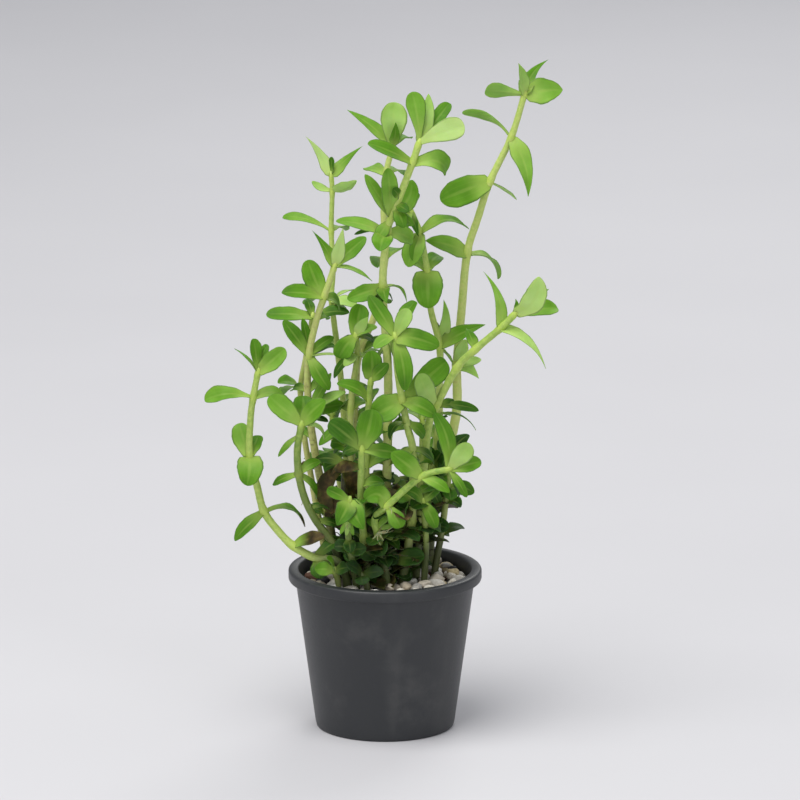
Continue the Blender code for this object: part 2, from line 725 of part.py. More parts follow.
def make_shoot(name, shoot, parts, cutters, material):
    """One shoot: its stem and its leaves, grown together."""
    route, places = smooth_route(stem_points(shoot))
    radii = stem_radii(shoot, route, places)
    stem = new_object(name, tube_mesh(name, route, radii), parts, material)
    leaves = blades_mesh(shoot, route, places, radii)
    blades = new_object(name + "_leaves", leaves, cutters)
    add_boolean(stem, "UNION", as_cutter(blades))


def socket_mesh(shoots):
    """One hole in the gravel for each stem's buried end, a little wider than the stem."""
    bm = bmesh.new()
    depth = (ROOT_DEPTH + 2 * GAP + SOCKET_ABOVE) * MM
    middle = (GRAVEL_TOP + SOCKET_ABOVE) * MM - depth / 2
    for shoot in shoots.values():
        x, y = shoot["foot"]
        radius = (shoot["thick"][0] / 2 + SOCKET_PLAY) * MM
        bmesh.ops.create_cone(
            bm, cap_ends=True, segments=SOCKET_SIDES, radius1=radius, radius2=radius, depth=depth,
            matrix=Matrix.Translation((x * MM, y * MM, middle)),
        )
    return mesh_of(bm, "sockets")


def main():
    clear_scene()
    parts = new_collection("potted_lemon_bacopa")
    cutters = new_collection("cutters")
    make_pot(parts, cutters)
    sockets = as_cutter(new_object("sockets", socket_mesh(SHOOTS), cutters))
    make_gravel(parts, cutters, sockets)
    for name, shoot in SHOOTS.items():
        colour = OLD_BROWN if name == "shoot_old_leaves" else LEAF_GREEN
        material = new_material(name + "_colour", colour, LEAF_ROUGHNESS)
        make_shoot(name, shoot, parts, cutters, material)


main()
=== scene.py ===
"""The looks of the potted lemon bacopa: fine leaves and stems, single stones, and the pot's finish.

Lengths in the lists are millimetres, and the plant's points are given as seen from the front,
from VIEW_ANGLE above level: how far right, how far up the picture, and how far back.
"""

import math
import random

import bmesh
import bpy
import numpy as np
from mathutils import Matrix, Vector, noise


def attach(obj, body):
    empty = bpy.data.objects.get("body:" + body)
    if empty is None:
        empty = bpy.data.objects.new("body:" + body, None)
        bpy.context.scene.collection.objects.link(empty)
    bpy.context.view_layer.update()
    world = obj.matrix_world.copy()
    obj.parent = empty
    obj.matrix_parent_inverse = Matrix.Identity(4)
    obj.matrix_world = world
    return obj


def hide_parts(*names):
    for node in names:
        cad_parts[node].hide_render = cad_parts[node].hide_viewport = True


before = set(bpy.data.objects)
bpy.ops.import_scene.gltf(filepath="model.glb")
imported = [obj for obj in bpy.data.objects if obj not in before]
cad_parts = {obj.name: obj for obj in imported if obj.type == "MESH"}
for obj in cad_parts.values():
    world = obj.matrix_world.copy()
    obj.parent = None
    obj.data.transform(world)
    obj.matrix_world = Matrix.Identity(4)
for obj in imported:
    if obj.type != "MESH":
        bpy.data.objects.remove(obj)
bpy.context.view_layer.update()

MM = 0.001

# Sizes that the solids have too
POT_HEIGHT = 45.6
POT_FOOT_RADIUS = 19.5
POT_TOP_RADIUS = 25.6
POT_WALL = 1.3
POT_FLOOR = 2.0
RIM_OUT = 1.6
RIM_HEIGHT = 3.2
RIM_ROUND = 0.8
DRAIN_HOLES = 4
DRAIN_RADIUS = 2.4
DRAIN_RING = 11.5
GRAVEL_TOP = 44.0
GAP = 0.35
ROOT_DEPTH = 11.0
VIEW_ANGLE = math.radians(14)
BUD_LENGTH = 1.3
ROOT_IN_STEM = 0.62
BURIED_POINTS = 2

# Outlines of a leaf: how wide it is where it leaves the stem, as a share of its greatest width,
# where along it that width is, how long it stays full past there, and how pointed its tip is.
FORMS = {
    "oval": (0.5, 0.48, 2.2, 0.6),
    "broad": (0.62, 0.5, 2.6, 0.5),
    "egg": (0.6, 0.34, 1.8, 0.8),
    "drop": (0.55, 0.3, 1.25, 1.0),
    "spoon": (0.26, 0.72, 2.3, 0.5),
    "blunt": (0.42, 0.6, 3.0, 0.5),
    "shield": (0.72, 0.3, 2.6, 0.55),
    "lance": (0.5, 0.35, 1.5, 0.95),
    "horn": (0.8, 0.24, 0.9, 1.1),
    "sickle": (0.6, 0.36, 1.3, 0.95),
    "paddle": (0.3, 0.7, 3.5, 0.45),
    "tongue": (0.85, 0.45, 2.8, 0.5),
}

# Tones of a leaf, from the darkest old green to the lightest young one
DARK, DEEP, MID, FRESH, LIGHT, YOUNG = 0.08, 0.24, 0.42, 0.56, 0.74, 0.92

# Each shoot: its foot in the gravel, its thickness at foot and tip, how old its stem looks at the
# tip, the middle and the foot (0 green, 1 brown), its points, and its leaves. Some also say how far
# painted shade darkens the stem towards its foot, how withered the leaves are, how many pairs of old
# leaves it has low down, and which small leaves it has that aren't in the solids.
# A leaf is the number of its point, its tip from there (right, up, back), width, turn to the front,
# arch and tone, then its form where it isn't oval, and values of its own that chance doesn't draw.
# The number 2.5 is half way between two of the stem's points, and one below 0 is under the first.
SHOOTS = {}
SHOOTS["stem_tall_right"] = dict(
    foot=(12, 8), thick=(3.2, 1.7), age=(0.3, 0.42, 0.5), pairs=2,
    path=[
        (14, 20, 9), (19.8, 43.4, 10), (20.2, 58.5, 11), (21.5, 74, 12), (23, 89.6, 12), (26, 99.5, 12),
        (29.4, 109.8, 12), (35.3, 122.1, 12), (38.9, 133.8, 12),
    ],
    leaves=[
        (8, -11.2, 0.9, -5, 4.5, -0.85, 0.4, FRESH, "spoon"),
        (8, 10.7, 1.4, 4, 7.5, 0.9, 0.5, FRESH, "egg"),
        (8, 6.7, 10.1, 4, 4.6, 0.7, -1, MID, "horn", {"sway": 1.6}),
        (8, -1.4, 8.4, -4, 4.2, 0.6, 0.3, LIGHT, "sickle"),
        (7, -14, 6.4, 6, 3.4, -0.5, 2.2, FRESH, "spoon"),
        (7, 4.7, -16.8, -5, 5.6, 0.9, 1.2, FRESH, "drop", {"sway": 1.4}),
        (6, -14, -5.6, -7, 8, 0.9, 0.6, MID, "broad"),
        (6, 7.6, -5, 10, 4, 0, 0.3, LIGHT, "lance", {"curl": 0}),
        (4, -11.8, 3.4, -7, 6.2, 0.6, 1, FRESH, "egg"),
        (4, 8.7, -7, 7, 5, 0.1, 3, FRESH, "oval", {"curl": 0}), (2, 2.5, 7.3, -4, 4, 0.9, 1, YOUNG),
        (2, 6.1, -3.6, -5, 4.4, 0.6, 1.6, LIGHT, "drop"), (0, 6, 3, 3, 4.6, 0.3, 0.8, DEEP),
    ],
)
SHOOTS["stem_leaning_right"] = dict(
    foot=(8.5, -2), thick=(2.8, 1.9), age=(0.15, 0.25, 0.5), pairs=2,
    path=[
        (9.3, 12, -2), (10.1, 22.4, -3), (12, 40.6, -5), (14.3, 47, -6), (20.2, 57.7, -8),
        (25.2, 62.7, -10), (32.2, 68.6, -12), (36.1, 72.5, -13),
    ],
    leaves=[
        (7, 6.5, 10.2, -5, 6.5, 0.9, 0.5, YOUNG, "oval", {"sway": -2.3, "twist": 0}),
        (7, 12, 1.8, 4, 5, 0.6, 1, FRESH, "blunt"), (7, 9.6, 7, 8, 3, 0, 1, FRESH, "lance"),
        (7, 0.3, 4.2, 2, 2, 0.3, 0.2, MID, "lance"),
        (6, -5, 15.7, 5, 4.2, 0.4, 1.5, FRESH, "horn", {"sway": -1.2}),
        (6, 12.6, -11.2, -5, 4.4, 0.4, 2, LIGHT, "horn", {"sway": 1}),
        (5, -2.4, 6.2, 4, 3.6, 0.5, 0.5, MID, "lance"), (4, 6.6, 2.4, 3.5, 3, 0.3, 0.5, LIGHT),
        (3, 11.8, -1.6, 4, 3.2, 0.3, 1.2, DEEP), (3, -10, 0, -4, 5, 0.4, 1.2, DEEP),
        (3, -4.5, 8.5, -8.5, 6, 0.8, 0.5, LIGHT, "blunt"),
    ],
    small=[
        (3, 6.4, 0, 3, 3.6, 0.5, 1, DEEP), (2.6, 12.7, -3.8, 3, 1.4, 0, 2.6, MID, "lance"),
        (1.3, 5, -8.3, 1, 3.6, 0.6, 1, DARK), (1.2, -4.9, -3.1, 3, 3.4, 0.4, 1, DEEP),
    ],
)
SHOOTS["stem_tall_front"] = dict(
    foot=(0, -2), thick=(2.9, 1.9), age=(0.25, 0.42, 0.6), pairs=3,
    path=[
        (0.3, 18, -3), (0.8, 40, -4), (0.8, 57.4, -5), (-0.6, 80.1, -7), (0.6, 94.9, -8), (1.9, 99.6, -8),
        (4.5, 106, -9), (7.6, 114.2, -10), (9.5, 119.8, -10),
    ],
    leaves=[
        (8, -2, 14, 2, 5.4, 0.7, 0.5, FRESH, "spoon"), (8, 2.5, 13.6, 5, 4.6, 0.3, 0.5, LIGHT, "egg"),
        (8, 8.4, 11, 8, 4.2, 0.4, 1, MID, "blunt"), (8, 12.6, 4.5, -6, 6.4, 0.9, 0.8, YOUNG, "paddle"),
        (7, -12.1, 5.4, -5, 4.8, 0.6, 1.2, MID, "blunt"), (7, 9.6, -2.2, 4, 6.2, 0.6, 3.4, FRESH, "blunt"),
        (5, -7.6, 11.5, -2, 4.6, 0.6, 1, FRESH), (5, -1, 13, -4, 5.2, 0.7, 0.5, FRESH, "broad"),
        (5, 5.4, 10.2, 2, 6.4, 0.4, -1.2, FRESH, "oval", {"sway": -1.6}),
        (4, -14.3, 3, -2, 5, 0.5, 1.2, FRESH), (4, -2, -5.3, -8, 6, 0.5, 1, MID),
        (4, 7, -2, 4, 6, 0.5, 1, FRESH), (3, -9.8, -3.4, -4, 4.8, 0.8, 0.8, MID),
        (3, 7, -3.7, 6, 2.2, 0, 2.2, FRESH, "lance"), (3, 1.1, -4.5, -7, 4, 0.4, 0.8, MID, "lance"),
        (1, 8, 1.5, 4, 5, 0.5, 1.5, DEEP), (0, -3, 5, -6, 4.4, 0.6, 0.8, DARK),
        (0, 5, 4, 2, 4.4, 0.5, 0.8, DARK),
    ],
    small=[
        (5.8, -1.7, 2, -3, 2.8, 0.9, 0.3, DEEP, "broad"), (5.6, 3.3, -2.1, -4, 3.1, 0.7, 0.5, DEEP),
        (5.5, 2.4, -5.6, -4, 3.9, 0.8, 0.6, MID), (4.6, -3.6, -5, -3, 3.9, 0.8, 0.6, FRESH),
        (5, 6, -2.6, -1, 4.2, 0.5, 0.8, MID), (4.2, -9.3, -2, -1, 2, 0.3, 0.6, DEEP),
        (3, 2.8, -3.9, 2, 1.7, 0.3, 0.4, DARK), (2.9, -3.5, -3.1, -4, 4.8, 0.7, 0.6, DEEP),
        (2.4, 3.6, -10.8, 3, 3.9, 0.5, 0.8, MID), (2.3, -3, -9.6, 4, 3.9, 0.4, 0.8, DEEP),
        (1.4, 3.1, -4.7, 4, 3.9, 0.4, 1, MID), (1.3, -3, -4.6, 3, 3.9, 0.4, 1, DEEP),
    ],
)
SHOOTS["stem_tall_back"] = dict(
    foot=(-4, 10), thick=(2.7, 1.6), age=(0.35, 0.6, 0.7), pairs=4,
    path=[
        (-7, 20, 13), (-9, 37.8, 16), (-8.4, 49, 17), (-7.4, 61.6, 17.5), (-2.3, 74.2, 18),
        (-0.1, 88.2, 18), (-0.4, 102.2, 18), (0.3, 112, 18), (2.2, 119.8, 18),
    ],
    leaves=[
        (8, -12.8, 10.1, 2, 4.2, 0.6, 1, FRESH, "sickle"), (8, 0.6, 11.6, -2, 7.4, 1, 0.4, LIGHT, "blunt"),
        (8, 0.8, 6, -4, 3, 0.8, 0.3, MID, "lance"), (8, 5.3, 2.8, 5, 3.6, 0, 0.8, MID),
        (7, -5.6, 2, 6, 5, 0.4, 1, FRESH), (7, 5, 0, 8, 5, 0, 1.4, MID), (5, -2, -2, 11, 5.4, 0, 1.4, MID),
        (5, 5, 3, 8, 5, 0, 1, MID), (3, -6, 2, 8, 5, 0, 1.4, MID), (3, 7, 0, 6, 5, 0, 1.4, MID),
    ],
    small=[
        (4.2, 2.1, -1.4, 2, 3.6, 0.3, 1, DEEP), (3, 8.5, 4.8, 3, 3.9, 0.3, 1, DEEP),
        (3, -3.8, 3.6, 4, 3.9, 0.3, 1, MID), (2, -5.6, -1.4, 4, 3.9, 0.3, 1, DEEP),
        (1.4, 7.4, 3.9, 4, 3.9, 0.3, 1, DEEP),
    ],
)
SHOOTS["stem_centre_right"] = dict(
    foot=(7, 4), thick=(2.6, 1.5), age=(0.2, 0.35, 0.5), pairs=3,
    path=[
        (11, 18, 5), (14.8, 38, 5.5), (15.2, 52, 5.5), (15.3, 63.6, 5), (12.8, 74, 4.5), (11.8, 84.8, 4),
        (9.8, 95.2, 3.5), (7.2, 101.5, 3),
    ],
    leaves=[
        (7, 0.8, 7.8, 2, 5, 0.5, -1.5, MID), (7, -3.4, 3.6, -1, 3, 0.5, 0.3, MID),
        (6, 13.7, 1.1, 3, 5.4, 0.3, 3.6, MID, "egg", {"curl": 0}), (6, -3.6, -9.2, -5, 6.5, 0.7, 1, FRESH),
        (5, 0.3, -10.6, -6, 8.6, 1, 1.5, MID, "shield", {"twist": 0, "sway": 0}),
        (5, -4.5, 4, 6, 5, 0.3, 0.8, MID), (5, 3.5, 4.5, 7, 5, 0.3, 0.8, MID),
        (3, 0.9, 13.1, 2, 3.4, 0.7, 0.4, LIGHT, "sickle", {"sway": -1.5}),
        (3, 12.4, 6.4, -2, 5, 0.7, 0.8, MID, "sickle"), (3, -1, 7, 6, 2.2, 0.2, 0.8, DARK, "egg"),
        (1, -6, 2, 6, 5, 0.3, 1.2, DEEP),
    ],
    small=[
        (6, -2, -7.8, -5, 3.6, 0.8, 0.6, MID), (7, -3.2, -5.8, -3, 4.4, 0.8, 0.6, MID),
        (7, 2.2, -7.4, -3, 2.4, 0.7, 0.6, DEEP, "lance"), (3, 3.7, -5.1, 3, 2.5, 0.3, 0.4, LIGHT, "lance"),
        (1.3, -0.4, 0.6, -3, 5, 0.8, 0.5, DARK, "broad"), (0.6, 2.4, 4.2, -4, 4.5, 0.9, 0.4, DARK, "broad"),
        (0.6, -0.7, 5.6, -3, 2.5, 0.7, 0.4, DARK), (0.9, 4.3, 1.8, 3, 3.9, 0.4, 1, DEEP),
    ],
)
SHOOTS["stem_front_centre"] = dict(
    foot=(5, -8), thick=(2.6, 1.8), age=(0.2, 0.3, 0.5), dark=0.3, pairs=2,
    path=[
        (7.5, 15, -9), (7.8, 33.6, -11), (6.4, 40.6, -12), (4.8, 48.4, -13), (3.5, 57, -14),
        (2.8, 66.4, -15),
    ],
    leaves=[
        (5, 12, -2.8, -3, 5.6, 0.9, 1, MID, "tongue"), (5, 3.6, 7.5, -1, 4.5, 0.8, 0.5, LIGHT, "blunt"),
        (5, 5.6, 9.8, 4, 4.2, 0.6, 0.5, MID, "blunt"), (5, 2.8, -15.2, -3, 5, 0.7, 1.5, MID),
        (5, -5.9, -3.4, -3, 3.6, 0.6, 1, FRESH), (5, -7, 11.4, 3, 4.8, 0.6, 0.5, MID),
        (3, -8.2, -4.2, -3, 7.6, 0.95, 0.8, MID, "broad"), (3, 12.3, 11, 11, 7, 0.9, 1, MID, "blunt"),
        (3, 9.5, -4.2, -2, 5.6, 0.6, 2, MID), (0, -4, 4, -3, 4.4, 0.6, 0.8, DARK),
    ],
    small=[
        (2.2, -4.7, -4.9, -2, 3.1, 0.3, 2.4, DARK), (2.2, 4.8, -4.4, 2, 3.9, 0.5, 1, MID),
        (1.2, -4.4, -4.5, -1, 4.5, 0.5, 1, DEEP), (1.2, 6.2, -4.5, 2, 3.9, 0.4, 1, DEEP),
    ],
)
SHOOTS["stem_tall_left"] = dict(
    foot=(-9.5, 9), thick=(2.3, 1.3), age=(0.25, 0.35, 0.55), pairs=3,
    path=[
        (-10, 18, 10), (-11, 34, 12), (-12, 50, 13), (-13.4, 63, 14), (-15, 76.7, 15), (-14.6, 85.4, 16),
        (-15.1, 96, 17), (-14.8, 107, 17), (-15.1, 111.5, 17),
    ],
    leaves=[
        (8, -7, 10.9, -1, 3.9, 0.8, -0.8, YOUNG, "horn", {"sway": -0.8}),
        (8, 8.9, 8.3, 1, 3.6, 0.8, -0.6, FRESH, "horn", {"sway": 0.6}),
        (8, 0.3, 5.2, 0, 2.4, 0.5, 0, DEEP, "blunt"), (7, -5.6, 3.2, 2, 3, 0.3, -0.8, LIGHT),
        (7, 6.9, 3.2, -4, 4.2, -0.5, -0.8, LIGHT, "egg"), (6, -13.7, 3.7, 3, 3.3, 0.4, 1.8, FRESH, "spoon"),
        (6, 4, 0, 10, 5, 0, 1.4, MID), (4, 7.2, -1.9, -4, 4.5, 0.5, 0.8, LIGHT),
        (4, 7.7, 3.1, 5, 3.1, 0, 1, LIGHT, "lance"), (4, -8, -1, 6, 5, 0, 1.2, MID),
        (3, 5, 2, -5, 4.4, 0.4, 1, MID), (3, -3, 2, 8, 4.6, 0, 1.2, MID), (0, -4, 3, 5, 4.4, 0, 0.8, DEEP),
    ],
    small=[(3.9, 4.5, -2.2, 2, 2.5, 0.4, 0.6, DARK)],
)
SHOOTS["stem_second_left"] = dict(
    foot=(-13.5, 3), thick=(2.6, 1.7), age=(0.4, 0.62, 0.64), pairs=1,
    path=[
        (-16, 16, 3), (-19.6, 33.6, 4), (-21.6, 49, 4), (-21.3, 61, 3), (-19, 71.4, 1), (-17, 77.3, 0),
        (-14, 86, -2),
    ],
    leaves=[
        (6, -6.4, 9.8, 2, 3.8, 0.6, 0.4, MID, "horn"), (6, 2.4, 10.6, -3, 4, 0.9, 0.4, YOUNG, "drop"),
        (6, 8.8, 7.9, 2, 4.6, 0.5, 0.6, MID), (6, 10.4, -4.5, -3, 2.6, 0.1, 1.2, FRESH, "lance"),
        (5, -11.8, 1.2, -3, 5, 0.5, 0.8, MID), (5, -4.5, 10.4, 2, 6, 0.9, 0.4, MID, "broad"),
        (5, 4.5, -3, 4, 4.6, 0.2, 1, MID), (3, -7.3, 9.8, 2, 4.2, 0.7, 0.8, MID),
        (3, 6.7, 5.6, 2, 3.1, 0.5, 0.8, MID), (3, 7.3, 3.1, 5, 3.1, 0.3, 0.8, DEEP),
        (0, -6, 2, -1, 4.4, 0.4, 0.8, DEEP), (0, 5, 3, 3, 4.4, 0.4, 0.8, DEEP),
    ],
    small=[
        (4.0, 2.8, 0, 4, 3.4, 0.3, 1, MID), (3, -1.9, 10.4, 3, 2.8, 0.6, 0.4, MID),
        (2.2, 5.9, 3.8, 1, 3.1, 0.6, 0.6, FRESH, "broad"), (2.2, -4.5, 0.4, 5, 3.4, 0.3, 1, DEEP),
        (1.75, 9.9, 5.8, -4, 3.6, 0.7, 1.8, LIGHT), (1.75, 5.7, 10.6, -4, 3.2, 0.8, 0.5, FRESH),
        (1.7, 9.8, 2.2, -1, 4.6, 0.8, 1, MID), (1.6, 5.1, -0.6, -2, 2.2, 0.4, 0.6, DARK),
        (1.25, -3.4, 2.6, 4, 3.4, 0.3, 1, DEEP), (3, 10.9, -0.5, -3, 2.2, 0.1, 0.8, LIGHT, "lance"),
        (3, 5.8, -9.6, -4, 4.5, 0.8, 1, MID, "oval", {"twist": 0, "curl": 0}),
    ],
)
SHOOTS["stem_thin_left"] = dict(
    foot=(-16.5, 8), thick=(2, 1.4), age=(0.4, 0.6, 0.7),
    path=[(-20, 22, 10), (-23, 40, 12), (-23.8, 51.8, 13), (-22.4, 60.2, 13), (-20.4, 72, 13)],
    leaves=[
        (4, -12.9, 0.8, -2, 5.2, 0.4, 0.8, MID, "broad"), (4, 10.4, 1, -3, 4.6, 0.4, 1, DEEP),
        (4, -1.5, 5, 3, 3, 0.3, 0.4, DEEP), (2, -5, -2, 8, 5, 0, 1.4, MID),
        (2, -6, 2, -6, 4.6, 0.3, 1, MID),
    ],
    small=[(3.2, -4, 2.1, -1, 1.7, 0.4, 0.5, MID, "lance"), (1.2, 6.4, 3.8, 5, 3.6, 0.3, 1, DEEP)],
)
SHOOTS["stem_arched_left"] = dict(
    foot=(-11.5, -7), thick=(2.3, 2), age=(0.1, 0.2, 0.75), dark=1.0,
    path=[
        (-14.5, 8, -8), (-19.3, 14.8, -9), (-22.4, 21, -10), (-24.1, 28, -11), (-24.4, 35, -12),
        (-23.2, 42, -12),
    ],
    leaves=[
        (5, -8.7, 7.6, -2, 6.5, 0.8, 0.8, FRESH, "blunt"), (5, 6.5, 6.5, -3, 6, 0.8, 0.8, MID),
        (5, 0.2, 7.8, 4, 6.2, 0.8, 0.6, MID, "broad"), (5, 6.7, -3.9, 3, 2.8, 0.3, 1.6, LIGHT),
        (3, -7.5, -2.8, 2, 3.1, 0.5, 0.8, MID), (3, 5.9, 3.9, 3, 3.4, 0.4, 0.8, MID),
    ],
    small=[
        (4.6, -6, -6.2, 1, 2.2, 0.6, 0.6, FRESH), (1.6, 5.8, -0.3, 1, 1.7, 0.4, 0.6, DARK, "lance"),
        (1, 6.7, -1.6, 3, 3.4, 0.5, 0.8, DARK), (3, 5.3, -7, 3, 3.4, 0.5, 1, MID),
    ],
)
SHOOTS["stem_trailing_left"] = dict(
    foot=(-10.5, -11.5), thick=(2.6, 1.7), age=(0.2, 0.25, 0.4),
    path=[
        (-13.5, 3.4, -12), (-19.6, 4.4, -11), (-25.8, 7.8, -9), (-30, 12, -8), (-33.9, 17.4, -7),
        (-35.8, 24.6, -8), (-37.8, 33, -9), (-37.5, 43.4, -10), (-36.7, 49.3, -11), (-35.3, 56.5, -12),
    ],
    leaves=[
        (9, -6.2, 6.7, 1, 1.8, 0, 0.6, MID, "lance"), (9, -1, 9, -1, 4, 0.6, 0.2, MID, "blunt"),
        (9, 7.2, 6.4, -2, 5.2, 0.8, 0.5, FRESH, "broad"), (9, 2.5, 7.6, 2, 2.6, 0.6, 0.2, MID, "blunt"),
        (8, -13.4, 0, -2, 5, 0.4, 2, FRESH, "spoon"), (8, 8.4, 0.3, 3, 4.4, 0.3, 1.6, FRESH),
        (6, -2.8, 9.2, 3, 5.6, 0.8, 0.6, FRESH, "broad"), (6, 2.5, 5.6, 4, 4, 0.6, 0.6, MID, "broad"),
        (6, -0.6, -8.4, -6, 7.4, 0.9, 1.8, MID, "shield"), (4, -8.4, -8, -2, 4.6, 0.6, 1, MID),
        (4, 11.8, -3.6, 2, 4.4, 0.2, 3, MID, "oval", {"withered": 0.25}),
        (2, 9, 2.5, -5, 4.6, 0.5, 1, MID, "oval", {"withered": 0.6}),
    ],
    small=[
        (1, 6.4, 4.8, 3, 3.6, 0.7, 0.8, DEEP, "broad"), (0.9, 0.2, -5.4, -4, 4.8, 0.8, 0.8, DEEP, "broad"),
    ],
)
SHOOTS["stem_left_of_centre"] = dict(
    foot=(-7, 3), thick=(2.4, 1.7), age=(0.3, 0.55, 0.75), pairs=3,
    path=[(-9, 22, 3), (-9.6, 46, 2), (-7.8, 60, 0), (-8.1, 66.6, -1)],
    leaves=[
        (3, 3.3, 5.1, -3, 3.4, 0.8, 0.5, LIGHT, "egg"), (3, -4.8, -6.1, -3, 5.6, 0.8, 1.2, MID, "blunt"),
        (3, 1.4, 8.7, 3, 5.6, 0.8, 0.5, MID, "broad"), (3, 5.6, -2.2, 1, 3.4, 0.4, 1, DARK),
        (3, 5.9, 2.3, -3, 3.1, 0.5, 0.8, FRESH), (1, -5, 0, 6, 5, 0.2, 1.2, MID),
        (1, 5, 2, 5, 4.6, 0.2, 1.2, MID),
    ],
    small=[
        (2.2, -3.8, -3.5, -4, 3.1, 0.7, 1.4, LIGHT), (2.2, -6.7, -6.7, 1, 3.6, 0.4, 1, DEEP),
        (2.2, 4.8, -3.4, 3, 3.4, 0.3, 1, MID), (1.5, 5.1, -6, 4, 3.6, 0.3, 1, DEEP),
        (1.2, -4.5, -8.2, 4, 3.6, 0.3, 1, DEEP), (0.6, -5.2, -3.9, 2, 3.6, 0.4, 1, DEEP),
        (0.6, 6.6, -5.9, 2, 3.6, 0.4, 1, DEEP), (0.85, -8.7, -7.7, -3, 3.4, 0.4, 0.8, MID),
    ],
)
SHOOTS["stem_inner"] = dict(
    foot=(-3.5, -5.5), thick=(2.2, 1.6), age=(0.1, 0.3, 0.7), pairs=2,
    path=[(-5, 20, -5), (-5.2, 36, -5.5), (-4.5, 48.4, -6), (-3.9, 54.2, -6.5)],
    leaves=[
        (3, 0, 8, -1, 5.9, 1, 0.6, MID, "broad"), (3, 4.7, 4.6, -3, 3.9, 0.7, 0.6, MID),
        (2, -8.9, 4.8, -2, 4.2, 0.6, 1.6, MID), (2, 0.9, 3.1, 8, 4.5, 0.2, 1, DEEP),
    ],
    small=[
        (1.2, 7.9, 2.1, 3, 3.9, 0.4, 1, DEEP), (1.0, -6, -2.4, 1, 3.9, 0.5, 1, DEEP),
        (0.4, 7.9, -1.2, 2, 3.9, 0.5, 1, DARK),
    ],
)
SHOOTS["stem_front_short"] = dict(
    foot=(-4.5, -10), thick=(2.3, 1.9), age=(0.15, 0.2, 0.5), dark=0.5, pairs=2,
    path=[(-6, 10, -12), (-6.7, 22, -14), (-6.4, 35, -16)],
    leaves=[
        (2, 2.8, 10.6, -2, 7.4, 1, 0.4, MID, "blunt"), (2, -9, 7.5, -2, 6, 0.8, 0.8, DEEP, "blunt"),
        (2, 10.5, -1.5, 1, 4.8, 0.6, 1, MID), (2, -6, -2, 3, 4.6, 0.3, 1, DEEP),
        (0, -3, 4, 3, 4.4, 0.4, 0.8, DARK), (0, 4, 3, 3, 4.2, 0.4, 0.8, DARK),
    ],
    small=[
        (1.6, -7.5, -0.4, 2, 3.9, 0.5, 1, DEEP, "oval", {"withered": 0.95}),
        (1.2, 6.6, 0.6, 1, 3.9, 0.5, 1, DEEP), (0.5, 3.5, 2.8, 3, 3.9, 0.5, 1, DARK),
        (0.5, -6.3, 2.2, 3, 3.9, 0.5, 1, DARK),
    ],
)
SHOOTS["shoot_front_low"] = dict(
    foot=(-8, -14.5), thick=(2, 1.7), age=(0.1, 0.2, 0.6), dark=1.1,
    path=[(-10.2, 10.4, -17), (-9.8, 20.6, -19)],
    leaves=[
        (1, -6.2, 3.2, -1, 3.4, 0.9, 0.5, MID, "blunt"),
        (1, -3.5, -6.7, -5, 5.8, 1, 1, DEEP, "egg", {"twist": 0}),
        (1, 3.8, -7.8, -5, 6.2, 1, 1, MID, "egg", {"twist": 0}),
    ],
    small=[
        (-0.45, 4.6, 0.6, -3, 4, 0.7, 0.8, DARK), (-0.45, -4.4, 1, -1, 4.2, 0.6, 0.8, DARK, "broad"),
        (-0.1, 0.6, -3.6, -4, 3.6, 0.6, 0.8, DARK), (0.6, -0.7, -5.9, -1, 1.7, 0.5, 0.4, LIGHT),
        (0.5, -2.3, -4.6, -1, 1.4, 0.5, 0.4, FRESH), (0.5, 1.3, -4.9, -1, 1.4, 0.5, 0.4, FRESH),
    ],
)
SHOOTS["branch_front_right"] = dict(
    foot=(0.5, -12), thick=(2.6, 1.7), age=(0.1, 0.15, 0.4), pairs=1,
    path=[(-2, 10.9, -13), (-2.8, 15.4, -14), (0.6, 19, -15), (10.1, 27.2, -17), (17.9, 29.4, -18)],
    leaves=[
        (2, -6.2, 1.8, -2, 5.8, 0.9, 0.8, MID, "broad", {"sway": -2.4}),
        (2, 3.9, -5.8, -3, 4.8, 0.8, 0.8, MID, "blunt"), (3, -8.4, 6.7, -3, 6.2, 0.8, 0.8, MID),
        (3, 8, -4, -3, 4.2, 0.6, 0.8, FRESH),
        (4, -4.2, 15.7, 2, 4.8, 0.8, 0.6, MID, "oval", {"sway": -1.5}),
        (4, 5.9, 6.6, -2, 5.6, 0.9, 0.5, LIGHT, "blunt"), (4, 9, 2.2, 2, 4.6, 0.5, 1, MID),
    ],
    small=[
        (0.1, 3.8, 3.8, -2, 2, 0.6, 0.5, FRESH), (0.1, 5.2, 1, -1, 1.7, 0.6, 0.5, FRESH),
        (0.1, -2.7, 2.7, 1, 2, 0.6, 0.5, MID), (4, 5.1, -7.8, -1, 2.8, 0.6, 0.6, MID),
        (4, 2.8, -7.8, 2, 3.1, 0.4, 0.6, DARK),
    ],
)
SHOOTS["stem_low_right"] = dict(
    foot=(14, 1), thick=(2.2, 1.6), age=(0.2, 0.4, 0.7), dark=0.7, pairs=3,
    path=[(16, 12, 2), (17.5, 24, 3), (18.5, 33, 4)],
    leaves=[
        (2, 5, 6, 3, 5, 0.5, 0.6, DARK), (2, -4, 4, -4, 4.6, 0.6, 0.6, DARK, "blunt"),
        (2, 3, -3, -5, 4.6, 0.6, 0.8, DEEP), (1, 7.5, -1, -2, 5, 0.5, 1, DEEP),
        (1, -3, 1, -7, 4.6, 0.5, 1, DARK),
    ],
    small=[(1.5, -3.2, 0.9, -2, 4.2, 0.8, 0.5, DARK, "broad"), (0.6, 4.4, -1, -1, 3.9, 0.4, 1, DARK)],
)
